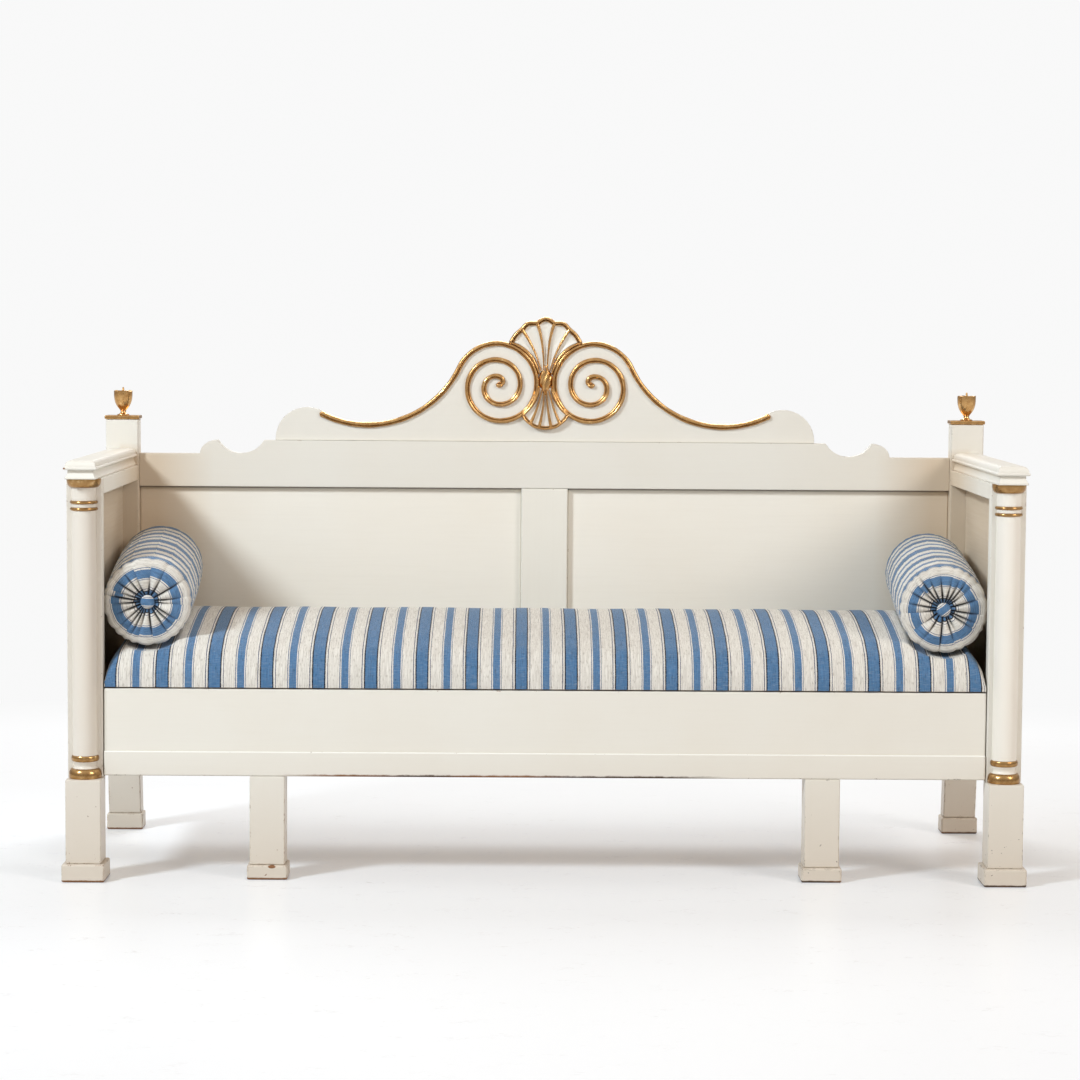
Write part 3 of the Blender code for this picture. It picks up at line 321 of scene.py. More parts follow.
def ring_profile(bottom, top, waist, belly, steps=14):
    """A round ring between two heights."""
    turns = [math.pi * i / steps for i in range(steps + 1)]
    middle, half = (bottom + top) / 2, (top - bottom) / 2
    edge = [(waist + (belly - waist) * math.sin(t), middle - half * math.cos(t)) for t in turns]
    return [(0.0, bottom)] + edge + [(0.0, top)]


gold_leaf = leaf_gold("antique_gilding")
dull_gold = leaf_gold("dulled_gilding", 0.67)
# The left column's paint is cast darker and the right one's lighter: painted shade on the left, painted
# light on the right.
column_paint = {
    "left": oil_paint("ivory_paint_column_left", "Z", cast=(0.925, 0.885, 0.86)),
    "right": oil_paint("ivory_paint_column_right", "Z", cast=(1.08, 1.07, 1.07)),
}
shaft_r, ring_r, bell_r, capital_r = 0.0258, 0.0289, 0.0343, 0.0355
bell_rise, neck_rise, ring_rise, capital_rise = 0.0205, 0.0145, 0.0125, 0.0185
neck_hollow, neck_lip, capital_curve, overlap = 0.0038, 0.0006, 0.0148, 0.002
bell_from, bell_turn = -24, 114
bell_tuck = math.sin(math.radians(-bell_from))
neck_rings = {"neck_ring_lower": (0.0665, 0.0592), "neck_ring_upper": (0.0527, 0.0454)}
for side, tag in SIDES:
    low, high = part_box(f"half_column_{tag}")
    x, face = (low.x + high.x) / 2, high.y
    bell_top = low.z + bell_rise
    neck_top = bell_top + neck_rise
    ring_top = neck_top + ring_rise
    capital_low = high.z - capital_rise
    shaft = [(0.0, bell_top - overlap), (shaft_r, bell_top - overlap)]
    for i in range(13):
        t = i / 12
        r = shaft_r + neck_lip - neck_hollow * math.sin(math.pi * t**0.75)
        shaft.append((r, bell_top + neck_rise * t))
    shaft += [(shaft_r, ring_top), (shaft_r, (ring_top + capital_low) / 2)]
    shaft += [(shaft_r - 0.0004, capital_low + overlap), (0.0, capital_low + overlap)]
    column = half_turning(shaft, x, face)
    fit_piece(f"column_shaft_{tag}", column, column_paint[tag], [f"half_column_{tag}"])

    bell = [(0.0, low.z)]
    for i in range(17):
        turn = math.radians(bell_from + bell_turn * i / 16)
        rise = (math.sin(turn) + bell_tuck) / (1 + bell_tuck)
        bell.append((shaft_r + (bell_r - shaft_r) * math.cos(turn), low.z + bell_rise * rise))
    bell.append((0.0, bell_top))
    capital = [(0.0, capital_low)]
    for i in range(13):
        turn = math.pi / 2 * i / 12
        r = shaft_r + (capital_r - shaft_r) * math.sin(turn)
        capital.append((r, capital_low + capital_curve * (1 - math.cos(turn))))
    capital += [(capital_r, high.z), (0.0, high.z)]
    gilded = {"base_bell": bell, "base_ring": ring_profile(neck_top, ring_top, shaft_r, ring_r)}
    for part, (bottom, top) in neck_rings.items():
        gilded[part] = ring_profile(high.z - bottom, high.z - top, shaft_r - 0.001, ring_r)
    gilded["capital"] = capital
    for part, profile in gilded.items():
        fit_piece(f"{part}_{tag}", half_turning(profile, x, face), dull_gold)

# Arms: a rail and a recessed panel between the posts, under a moulded cap. The cap is one
# length of moulding, a rounded shoulder over a bead and a hollow, returned round the front end
# with mitres, and glued down on the rail.
lengthwise_paint = oil_paint("ivory_paint_arms", "Y")
dress(lengthwise_paint, "arm_top_rail", "side_rail")
# The arm panels take the painted recess shade from further forward.
dress(oil_paint("ivory_paint_arm_panel", "Y", shade_from=-0.55), "arm_panel")
fillet = ((0.0054, 0.0), (0.0050, 0.0005), (0.0050, 0.0030), (0.0054, 0.0034))
hollow_in, hollow_low, hollow_rise = 0.0048, 0.0034, 0.0154
bead_in, bead_out, bead_low, bead_rise = 0.0020, 0.0028, 0.0190, 0.0062
shoulder_in, shoulder_low = 0.0120, 0.0254
for side, tag in SIDES:
    low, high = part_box(f"arm_cap_{tag}")
    levels = list(fillet)
    for i in range(1, 11):
        turn = math.pi / 2 * i / 10
        climb = 0.4 * (1 - math.cos(turn)) + 0.6 * i / 10
        levels.append((fillet[-1][0] + hollow_in * math.sin(turn), hollow_low + hollow_rise * climb))
    for i in range(11):
        turn = math.pi * i / 10
        climb = (1 - math.cos(turn)) / 2
        levels.append((bead_in + bead_out * (1 - math.sin(turn)), bead_low + bead_rise * climb))
    bead_top, shoulder_rise = levels[-1][0], high.z - low.z - shoulder_low
    for i in range(1, 15):
        turn = math.pi / 2 * i / 14
        climb = math.sin(turn) ** 0.92
        levels.append((bead_top + shoulder_in * (1 - math.cos(turn)), shoulder_low + shoulder_rise * climb))
    mesh_data = bmesh.new()
    rings = []
    for inset, rise in levels:
        left, right, front = low.x + inset, high.x - inset, low.y + inset
        corners = ((left, front), (right, front), (right, high.y), (left, high.y))
        rings.append([mesh_data.verts.new((x, y, low.z + rise)) for x, y in corners])
    stitch(mesh_data, rings, closed=True)
    mesh_data.faces.new(rings[0])
    mesh_data.faces.new(rings[-1])
    cap_paint = lengthwise_paint
    if tag == "left":
        corner = Vector((low.x + 0.002, low.y + 0.002, low.z + 0.0225))
        cap_paint = oil_paint(f"ivory_paint_cap_{tag}", "Y", knock=(corner, 0.0035))
    fit_piece(f"arm_moulding_{tag}", mesh_data, cap_paint, [f"arm_cap_{tag}"], 26.0)

# Rear posts: squared pine that runs up past the arms and leans back below the rails to a
# block foot. A thin gilded plate closes the top, and a turned, gilded urn stands on it,
# with a worn, uneven rim and a short spike.
dress(upright_paint, "rear_post", "rear_foot")
dress(gold_leaf, "finial_plate")
urn_foot = ((0.0, 0.0), (0.0132, 0.0), (0.0137, 0.001), (0.0132, 0.0022))
urn_knop = ((0.0066, 0.0102), (0.0080, 0.0110), (0.0074, 0.0120))
urn_mouth = ((0.0196, 0.0006), (0.0186, -0.001), (0.0120, -0.0022), (0.0050, -0.001))
urn_spike = ((0.0024, 0.002), (0.0020, 0.007), (0.0, 0.009))
stem_r, stem_hollow, cup_r, cup_swell, cup_low = 0.0130, 0.0072, 0.0080, 0.0128, 0.0128
urn_steps = 44
for side, tag in SIDES:
    low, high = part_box(f"urn_finial_{tag}")
    x, y = (low.x + high.x) / 2, (low.y + high.y) / 2
    base, cup, rim = low.z, low.z + cup_low, high.z - urn_spike[-1][1]
    profile = [(r, base + z) for r, z in urn_foot]
    for i in range(1, 9):
        turn = math.pi / 2 * i / 8
        z = base + urn_foot[-1][1] + stem_hollow * (1 - math.cos(turn))
        profile.append((stem_r - stem_hollow * math.sin(turn), z))
    profile += [(r, base + z) for r, z in urn_knop]
    for i in range(1, 21):
        up = i / 20
        profile.append((cup_r + cup_swell * (1 - (1 - up) ** 3.3), cup + (rim - cup) * up))
    lip = len(profile) - 1
    profile += [(r, rim + z) for r, z in urn_mouth + urn_spike]
    mesh_data = bmesh.new()
    rows = []
    for k in range(urn_steps):
        turn = math.tau * k / urn_steps
        worn = 0.0007 * math.sin(3 * turn + 0.8 + side) + 0.0005 * math.sin(7 * turn + 2.0)
        row = []
        for i, (r, z) in enumerate(profile):
            z += worn * max(1 - abs(i - lip) / 3.0, 0.0)
            row.append(mesh_data.verts.new((x + r * math.cos(turn), y + r * math.sin(turn), z)))
        rows.append(row)
    stitch(mesh_data, rows + rows[:1])
    bmesh.ops.remove_doubles(mesh_data, verts=mesh_data.verts, dist=1e-6)
    fit_piece(f"urn_{tag}", mesh_data, gold_leaf, [f"urn_finial_{tag}"], 42.0)

# Back: a shaped top rail, a low bottom rail and a centre stile, tenoned together and framing
# two thin panels that float in grooves.
back_paint = oil_paint("ivory_paint_back", "X")
dress(back_paint, "back_top_rail", "back_bottom_rail", "crest_board")
# The panels get a dark painted shadow line, with dust, just under the top rail.
under_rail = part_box("back_top_rail")[0].z
# The panels and the centre stile are lightened by their casts: painted light on the back's recess.
dress(oil_paint("ivory_paint_panel", "X", dust_and_shade=under_rail, cast=(1.12, 1.11, 1.10)), "back_panel")
dress(oil_paint("ivory_paint_stile", "Z", cast=(1.06, 1.06, 1.05)), "back_centre_stile")

# Crest: a sawn board glued on the rail and carved. Two gilded beads sweep up from small
# curls and wind into volutes; between them a shell opens upwards and a smaller fan hangs
# down, with painted flutes, gilded ribs and rims, and a gilded bud where they meet.
crest_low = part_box("crest_board")[0]
rail_top, crest_face = crest_low.z - 0.0003, crest_low.y - 0.0003
volute_x, volute_z, volute_r, volute_pitch = 0.1075, 0.1255, 0.0970, 0.0375
sweep_x, sweep_z, sweep_r = 0.4031, 0.2665, 0.2305
REED = ((-1.0, 0.0), (-0.97, 0.36), (-0.86, 0.64), (-0.66, 0.90), (-0.40, 1.0), (-0.10, 0.97), (0.16, 0.80))
REED += ((0.31, 0.50), (0.42, 0.60), (0.56, 0.72), (0.72, 0.68), (0.90, 0.44), (1.0, 0.0))
ROUND = tuple((-math.cos(math.pi * k / 10), math.sin(math.pi * k / 10) ** 0.85) for k in range(11))


def clamp(value):
    return max(0.0, min(1.0, value))


def carve_bead(mesh_data, path, widths, heights, face, section=ROUND, inner=1):
    """A bead along (x, z) points, planted on a face and closed at its ends; inner turns it over."""
    rows = []
    last = len(path) - 1
    for i, (x, z) in enumerate(path):
        ahead = Vector(path[min(i + 1, last)]) - Vector(path[max(i - 1, 0)])
        across = Vector((-ahead.y, ahead.x)).normalized() * inner
        row = []
        for share, lift in section:
            reach = widths[i] / 2 * share
            spot = (x + across.x * reach, face - heights[i] * lift, z + across.y * reach)
            row.append(mesh_data.verts.new(spot))
        rows.append(row)
    stitch(mesh_data, rows, closed=True)
    mesh_data.faces.new(rows[0])
    mesh_data.faces.new(rows[-1])


curl_x, curl_z = -0.5110, 0.0625
winds, eye_turn, eye_shrink, eye_x, eye_z = 2.46, 175, 0.55, -0.003, 0.009
ball_r, bead_width, bead_thinned, bead_height = 0.0072, 0.0128, 0.0008, 0.0076
first = math.degrees(math.atan2(curl_z - sweep_z, curl_x + sweep_x)) % 360
last = math.degrees(math.atan2(volute_z - sweep_z, -volute_x + sweep_x)) % 360
sweep_steps, wind_steps = 120, 300
path = []
for i in range(sweep_steps + 1):
    turn = math.radians(first + (last - first) * i / sweep_steps)
    path.append((-sweep_x + sweep_r * math.cos(turn), sweep_z + sweep_r * math.sin(turn)))
top = last - 180
turns = top - 90 + 360 * winds
for i in range(1, wind_steps + 1):
    angle = top - turns * i / wind_steps
    turn = math.radians(angle)
    tighten = max((i / wind_steps * turns - turns + eye_turn) / eye_turn, 0.0)
    radius = (volute_r - volute_pitch * max(90 - angle, 0) / 360) * (1 - eye_shrink * tighten**1.6)
    x, z = radius * math.cos(turn) + eye_x * tighten, radius * math.sin(turn) + eye_z * tighten
    path.append((x - volute_x, z + volute_z))
runs = [0.0]
for here, there in zip(path, path[1:]):
    runs.append(runs[-1] + math.dist(here, there))
widths, heights = [], []
for run in runs:
    end = min(run, runs[-1] - run)
    ball = math.sqrt(max(ball_r**2 - (ball_r - end) ** 2, 0.0))
    neck = clamp((end - 0.006) / 0.008)
    body = (bead_width - bead_thinned * min(run / 0.42, 1.0)) * neck
    hand = 1 + 0.04 * math.sin(run * 71) + 0.025 * math.sin(run * 163 + 1.0)
    width = max(2 * ball, body, 0.0015) * hand
    widths.append(width)
    heights.append(min(bead_height, 0.0012 + width * 0.52))
for side, tag in SIDES:
    mesh_data = bmesh.new()
    points = [(-side * x, rail_top + z) for x, z in path]
    carve_bead(mesh_data, points, widths, heights, crest_face, REED, side)
    fit_piece(f"scroll_bead_{tag}", mesh_data, gold_leaf, [f"scroll_moulding_{tag}"], 60.0)


def along_rib(points, share):
    """A place on a rib, drawn as a smooth curve from its root to its tip."""
    a, b, c, d = (Vector(point) for point in points)
    rest = 1 - share
    return a * rest**3 + b * (3 * rest * rest * share) + c * (3 * rest * share * share) + d * share**3


PER_FLUTE, FLUTE_ROWS, RIB_STEPS, RIM_STEPS = 12, 26, 40, 200
FLUTE_OUT, FLUTE_HOLLOW, RIB_FOOT = 0.0060, 0.0036, 0.0052
RIB_OUT, BORDER_OUT, RIM_OUT = 0.0040, 0.0100, 0.0112


def carve_fan(name, node, root_z, up, ribs, border, bulges, rim_width):
    """Painted hollow flutes with gilded ribs, side borders and a rim. The ribs and the border are
    curves of (x, rise) points in mm, for the left half."""
    ribs = [list(rib) for rib in ribs]
    ribs += [[(-x, z) for x, z in rib] for rib in reversed(ribs)]
    flutes = len(ribs) - 1
    columns = flutes * PER_FLUTE

    def on_crest(here):
        return here.x / 1000, rail_top + root_z + up * here.y / 1000

    def spot(across, share):
        k = min(int(across), flutes - 1)
        between = across - k
        here = along_rib(ribs[k], share).lerp(along_rib(ribs[k + 1], share), between)
        outward = Vector((here.x, here.y - 20.0)).normalized()
        return on_crest(here + outward * (bulges[k] * math.sin(math.pi * between) ** 1.5 * share**5))

    mesh_data = bmesh.new()
    front, back = [], []
    for j in range(FLUTE_ROWS + 1):
        front_row, back_row = [], []
        for i in range(columns + 1):
            x, z = spot(i / PER_FLUTE, j / FLUTE_ROWS)
            hollow = math.sin(math.pi * (i % PER_FLUTE) / PER_FLUTE) ** 1.2 * min(j / 6, 1.0)
            front_row.append(mesh_data.verts.new((x, crest_face - FLUTE_OUT + FLUTE_HOLLOW * hollow, z)))
            back_row.append(mesh_data.verts.new((x, crest_face, z)))
        front.append(front_row)
        back.append(back_row)
    for j in range(FLUTE_ROWS):
        for i in range(columns):
            for grid in (front, back):
                mesh_data.faces.new((grid[j][i], grid[j][i + 1], grid[j + 1][i + 1], grid[j + 1][i]))
        for i in (0, columns):
            mesh_data.faces.new((front[j][i], front[j + 1][i], back[j + 1][i], back[j][i]))
    for i in range(columns):
        for j in (0, FLUTE_ROWS):
            mesh_data.faces.new((front[j][i], front[j][i + 1], back[j][i + 1], back[j][i]))
    fit_piece(f"{name}_flutes", mesh_data, back_paint, [node], 50.0)

    mesh_data = bmesh.new()
    shares = [j / RIB_STEPS for j in range(RIB_STEPS + 1)]
    widths = [0.0034 + 0.0046 * share**1.4 for share in shares]
    for k in range(1, flutes):
        path = [spot(k, share) for share in shares]
        carve_bead(mesh_data, path, widths, [RIB_OUT] * len(path), crest_face - RIB_FOOT)
    widths = [0.0050 + 0.0078 * math.sin(math.pi * share**0.75) + 0.0025 * share for share in shares]
    edge = [on_crest(along_rib(border, share)) for share in shares]
    for mirror in (1, -1):
        path = [(mirror * x, z) for x, z in edge]
        carve_bead(mesh_data, path, widths, [BORDER_OUT] * len(path), crest_face, REED, up * mirror)
    tips = [on_crest(along_rib(border, share)) for share in (0.985, 0.97)]
    path = tips + [spot(flutes * i / RIM_STEPS, 0.98) for i in range(RIM_STEPS + 1)]
    path += [(-x, z) for x, z in reversed(tips)]
    carve_bead(mesh_data, path, [rim_width] * len(path), [RIM_OUT] * len(path), crest_face, REED, -up)
    fit_piece(f"{name}_ribs", mesh_data, gold_leaf, (), 60.0)


shell_ribs = (
    ((-13.0, -14.0), (-24.0, 26.0), (-44.3, 50.0), (-79.0, 58.0)),
    ((-9.6, -8.0), (-20.0, 28.0), (-34.0, 58.0), (-55.0, 86.5)),
    ((-3.8, -8.0), (-5.0, 36.0), (-8.1, 70.4), (-20.4, 101.0)),
)
shell_border = ((-14.5, -16.0), (-27.5, 21.0), (-49.0, 45.5), (-80.0, 54.0))
shell_bulges = (2.4, 7.0, 10.2, 7.0, 2.4)
carve_fan("shell", "shell_upper", 0.1690, 1, shell_ribs, shell_border, shell_bulges, 0.0118)
fan_ribs = (
    ((-12.5, -14.0), (-18.0, 16.0), (-33.0, 40.0), (-50.0, 52.5)),
    ((-7.6, -8.0), (-13.0, 22.0), (-24.0, 50.0), (-34.0, 70.0)),
    ((-2.6, -8.0), (-3.2, 26.0), (-8.0, 55.0), (-14.3, 79.0)),
)
fan_border = ((-14.0, -16.0), (-21.0, 13.0), (-37.0, 36.5), (-52.5, 50.5))
carve_fan("lower_fan", "shell_lower", 0.1105, -1, fan_ribs, fan_border, (1.6,) * 5, 0.0094)

low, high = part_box("shell_boss")
bud_wide, bud_tall = 1.14, 1.26
mesh_data = bmesh.new()
bmesh.ops.create_uvsphere(mesh_data, u_segments=48, v_segments=36, radius=1.0)
for vert in mesh_data.verts:
    x, y, z = vert.co
    snake = 0.42 * math.sin(3.4 * z)
    ridge = math.exp(-(((x - snake) / 0.22) ** 2))
    groove = math.exp(-(((abs(x - snake) - 0.46) / 0.14) ** 2))
    waist = 1 - 0.10 * math.exp(-((abs(z) - 0.55) / 0.16) ** 2)
    depth = 0.80 + 0.22 * ridge - 0.26 * groove * (1 - z * z)
    vert.co = (
        (low.x + high.x) / 2 + x * waist * (high.x - low.x) / 2 * bud_wide,
        high.y + min(y, 0.0) * depth * (high.y - low.y),
        (low.z + high.z) / 2 + z * (high.z - low.z) / 2 * bud_tall,
    )
fit_piece("bud", mesh_data, gold_leaf, ["shell_boss"], 70.0)

# Pull-out bed: a shallow box of bare pine that slides forward on runners, behind a painted
# apron that stands on two legs of its own. A thin strip is nailed along the apron's foot,
# and its lower edge is rubbed to the wood from years of pulling.
PINE, PINE_RING, PINE_FIBRE = (0.56, 0.37, 0.19), (0.40, 0.23, 0.10), (0.30, 0.17, 0.075)


def bare_pine(name, grain):
    """Unpainted pine with darker growth lines along the board."""
    material, tree, shader = new_finish(name)
    place = add(tree, "ShaderNodeTexCoord").outputs["Object"]
    wander = noise(place, 1.0, 2.0, 0.5, along_grain(grain, 1.6, 9.0))
    rings = sums("SINE", times(wander, 95.0), 0.0)
    fibre = noise(place, 1.0, 4.0, 0.6, along_grain(grain, 9.0, 420.0))
    tone = tint(spread(rings, -0.2, 1.0), PINE, PINE_RING)
    tone = tint(spread(fibre, 0.4, 0.75, 0.0, 0.4), tone, PINE_FIBRE)
    gloss = spread(fibre, 0.3, 0.7, 0.55, 0.72)
    feed(shader, {"Base Color": tone, "Roughness": gloss, "Normal": relief(fibre, 0.25)})
    return material


dress(bare_pine("bare_pine", "X"), "front_seat_rail", "bed_bottom", "bed_back", "seat_board")
dress(bare_pine("bare_pine_sides", "Y"), "seat_cleat", "bed_runner", "bed_side")
dress(back_paint, "apron_board")
low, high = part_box("apron_strip")
pulled = (low.z + 0.0055, low.z + 0.0085, -0.56, 0.38)
# The strip's top edge carries a painted highlight as well as pale rubbing.
dress(oil_paint("ivory_paint_strip", "X", pulled, rubbed=high.z), "apron_strip")
dress(upright_paint, "pull_leg", "pull_foot")
low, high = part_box("pull_foot_left")
knocked = ((low.x + high.x) / 2 + 0.010, low.y, high.z - 0.0025)
dress(oil_paint("ivory_paint_knocked", "Z", knock=(knocked, 0.0075)), "pull_foot_left")

# Seat: springs and horsehair on a loose board, covered in woven linen ticking with blue
# stripes that run front to back. The cover is drawn tight over the edges and tacked
# underneath, so the pad is square at the front and crowned behind its middle.
INK, NAVY, SLATE = (0.009, 0.011, 0.022), (0.045, 0.070, 0.145), (0.16, 0.20, 0.31)
WIDE_BLUE, NARROW_BLUE = (0.086, 0.208, 0.395), (0.098, 0.222, 0.412)
LINEN, BLEACHED, PALE_LINE = (0.845, 0.82, 0.75), (0.85, 0.82, 0.76), (0.85, 0.82, 0.755)
BESIDE = ((3.6, BLEACHED), (1.5, NAVY), (23.2, LINEN), (1.4, SLATE), (2.0, PALE_LINE))
STRIPES = ((2.2, INK), (23.0, WIDE_BLUE), (2.2, INK), *BESIDE, (15.0, NARROW_BLUE), *reversed(BESIDE))
REPEAT = sum(width for width, _ in STRIPES) / 1000


def ticking_cloth(name):
    """Striped linen; the mesh's threads attribute holds metres across and along the stripes, and a crease
    attribute, where given, paints shade into the folds.
    """
    material, tree, shader = new_finish(name)
    threads = add(tree, "ShaderNodeAttribute", attribute_name="threads").outputs["Vector"]
    ways = add(tree, "ShaderNodeSeparateXYZ", {0: threads}).outputs
    stray = 0.0005
    sway = noise(threads, 1.0, 2.0, 0.5, (40.0, 14.0, 1.0))
    fray = noise(threads, 1.0, 1.0, 0.5, (300.0, 900.0, 1.0))
    drift = sums("ADD", *(spread(wave, 0.2, 0.8, -stray, stray) for wave in (sway, fray)))
    turn = sums("FRACT", sums("DIVIDE", sums("ADD", ways["X"], drift), REPEAT), 0.0)
    ramp = add(tree, "ShaderNodeValToRGB", {"Fac": turn})
    ramp.color_ramp.interpolation = "CONSTANT"
    stops = ramp.color_ramp.elements
    start = 0.0
    for i, (width, colour) in enumerate(STRIPES):
        stop = stops[i] if i < 2 else stops.new(start)
        stop.position = start
        stop.color = (*colour, 1.0)
        start += width / 1000 / REPEAT
    warp = noise(threads, 1.0, 3.0, 0.65, (620.0, 22.0, 1.0))
    weft = noise(threads, 1.0, 3.0, 0.65, (60.0, 620.0, 1.0))
    fleck = noise(threads, 1.0, 2.0, 0.5, (420.0, 90.0, 1.0))
    slub, pale_weft = (0.60, 0.57, 0.54), (0.70, 0.69, 0.67)
    bark, crease_shade_colour = (0.48, 0.44, 0.39), (0.014, 0.014, 0.019)
    cloth = tint(spread(warp, 0.36, 0.72, 0.0, 0.90), ramp.outputs[0], slub, "MULTIPLY")
    cloth = tint(spread(weft, 0.48, 0.78, 0.0, 0.22), cloth, pale_weft)
    cloth = tint(spread(fleck, 0.56, 0.72, 0.0, 0.60), cloth, bark, "MULTIPLY")
    # Deep in the creases the cloth is painted nearly black: painted shade of the folds.
    crease_and_shade = add(tree, "ShaderNodeAttribute", attribute_name="crease_and_shade").outputs["Fac"]
    cloth = tint(times(crease_and_shade, 0.92), cloth, crease_shade_colour)
    thread_turns = 5700.0
    over, under = (sums("SINE", times(ways[way], thread_turns), 0.0) for way in "XY")
    weave = sums("ADD", times(over, under), sums("ADD", warp, weft))
    feed(shader, {"Base Color": cloth, "Roughness": 0.92, "Normal": relief(weave, 0.35)})
    feed(shader, {"Specular IOR Level": 0.18, "Sheen Weight": 0.22, "Sheen Roughness": 0.45})
    return material


def lay_threads(mesh, across, along, crease_and_shade=None):
    """Stores where each point lies on the woven cloth, and how much shade is painted into its crease."""
    values = np.zeros((len(mesh.vertices), 3), np.float32)
    values[:, 0], values[:, 1] = across, along
    threads = mesh.attributes.new("threads", "FLOAT_VECTOR", "POINT")
    threads.data.foreach_set("vector", values.ravel())
    if crease_and_shade is not None:
        folds = mesh.attributes.new("crease_and_shade", "FLOAT", "POINT")
        folds.data.foreach_set("value", np.asarray(crease_and_shade, np.float32))


def stuff(piece, held, pressure, most, steps=15):
    """Blows a cover out with a cloth simulation. Tacked points stay, and none moves further than most."""
    count = len(piece.data.vertices)
    start, end = np.empty(count * 3), np.empty(count * 3)
    piece.data.vertices.foreach_get("co", start)
    group = piece.vertex_groups.new(name="tacked")
    held = np.round(held, 2)
    for weight in sorted(set(held)):
        group.add(np.flatnonzero(held == weight).tolist(), float(weight), "REPLACE")
    cover = piece.modifiers.new("stuffing", "CLOTH")
    linen = cover.settings
    linen.quality = 3
    linen.mass = 0.25
    linen.tension_stiffness = linen.compression_stiffness = 12
    linen.bending_stiffness = 0.4
    linen.use_pressure = True
    linen.uniform_pressure_force = pressure
    linen.vertex_group_mass = "tacked"
    linen.effector_weights.gravity = 0
    cover.point_cache.frame_start, cover.point_cache.frame_end = 1, steps
    for step in range(1, steps + 1):
        scene.frame_set(step)
    shaped = piece.evaluated_get(bpy.context.evaluated_depsgraph_get()).data
    shaped.vertices.foreach_get("co", end)
    piece.modifiers.remove(cover)
    scene.frame_set(1)
    move = (end - start).reshape(-1, 3)
    length = np.linalg.norm(move, axis=1, keepdims=True)
    move *= np.tanh(length / most) * most / np.maximum(length, 1e-9)
    piece.data.vertices.foreach_set("co", start + move.ravel())
    piece.data.update()


def soften(piece):
    """Rounds the facets of a cover."""
    smooth = piece.modifiers.new("woven_smooth", "SUBSURF")
    smooth.levels = smooth.render_levels = 1
    smooth.use_limit_surface = False


def crowded(count, share):
    """Steps from -1 to 1 that lie closer together towards both ends."""
    even = np.linspace(-1, 1, count + 1)
    return np.sin(np.pi / 2 * even) * share + even * (1 - share)


ticking = ticking_cloth("striped_ticking")
low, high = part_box("seat_pad")
bottom = low.z
columns, rows, skirt = 200, 64, 6
tack_rise, wall_rise, crown_rise = 0.012, 0.073, 0.046
grid_u, grid_v = np.meshgrid(crowded(columns, 0.6), crowded(rows, 0.75))
deep = (grid_v + 1) / 2
squareness = ((grid_u, 50), (grid_u, 20), (grid_v, 14))
end, easy_end, edge = (np.sqrt(np.clip(1 - np.abs(grid) ** power, 0, 1)) for grid, power in squareness)
crown = np.sin(np.pi * deep**1.3)
sag = 0.0012 * np.sin(9.0 * grid_u + 1.0) * np.sin(5.0 * deep) + 0.0008 * np.sin(23.0 * grid_u + 3.0 * deep)
top = bottom + tack_rise + wall_rise * edge * end + crown_rise * crown * easy_end + sag * end * edge
grid_x = (high.x - low.x) / 2 * grid_u
grid_y = (low.y + high.y) / 2 + (high.y - low.y) / 2 * grid_v
mesh_data = bmesh.new()
cover = []
for j in range(rows + 1):
    cover.append([mesh_data.verts.new(spot) for spot in zip(grid_x[j], grid_y[j], top[j])])
stitch(mesh_data, cover)
ring = [(0, i) for i in range(columns)] + [(j, columns) for j in range(rows)]
ring += [(rows, columns - i) for i in range(columns)] + [(rows - j, 0) for j in range(rows)]
above = [cover[j][i] for j, i in ring]
for s in range(1, skirt + 1):
    below = []
    for j, i in ring:
        z = top[j, i] + (bottom + 0.0004 - top[j, i]) * s / skirt
        below.append(mesh_data.verts.new((*cover[j][i].co.xy, z)))
    stitch(mesh_data, [above, below], closed=True)
    above = below
mesh_data.faces.new(above)
seat = fit_piece("seat_cover", mesh_data, ticking, ["seat_pad"], 75.0, "loose_seat")

along, reach = np.zeros_like(top), np.zeros_like(top)
along[1:] = np.cumsum(np.hypot(np.diff(grid_y, axis=0), np.diff(top, axis=0)), axis=0)
reach[:, 1:] = np.cumsum(np.hypot(np.diff(grid_x, axis=1), np.diff(top, axis=1)), axis=1)
reach -= (reach[:, -1:] + reach[:, :1]) / 2
side_wall, first_stripe = 0.085, 0.0399
reach = np.sign(grid_x) * np.minimum(np.abs(reach), np.abs(grid_x) + side_wall)
across, along = list(reach.ravel()), list(along.ravel())
for s in range(1, skirt + 1):
    for j, i in ring:
        fall = (top[j, i] - bottom) * s / skirt
        across.append(reach[j, i] + (np.sign(grid_x[j, i]) * fall if i in (0, columns) else 0.0))
        along.append(along[j * (columns + 1) + i] + (-fall if j == 0 else fall if j == rows else 0.0))
wander = np.interp(across, (-0.92, -0.65, -0.30, 0.0, 0.35, 0.90), (0.007, 0.0, -0.0075, 0.0, 0.004, 0.006))
lay_threads(seat.data, np.array(across) - first_stripe + wander, np.array(along))
heights = np.array([v.co.z for v in seat.data.vertices]) - bottom
stuff(seat, np.clip(1.4 - heights / 0.040, 0, 1), 1.6, 0.004)
ROLL_RADIUS = 0.0915


def roll_axis(tag):
    """The two end centres of a bolster, front first, from its buttons, sunk into the stuffing."""
    near, far = (sum(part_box(f"bolster_button_{end}_{tag}"), Vector()) / 2 for end in ("front", "back"))
    settled = 0.0 if tag == "left" else 0.0065
    return near - Vector((0, 0, 0.0140 + settled)), far - Vector((0, 0, 0.0020 + settled))


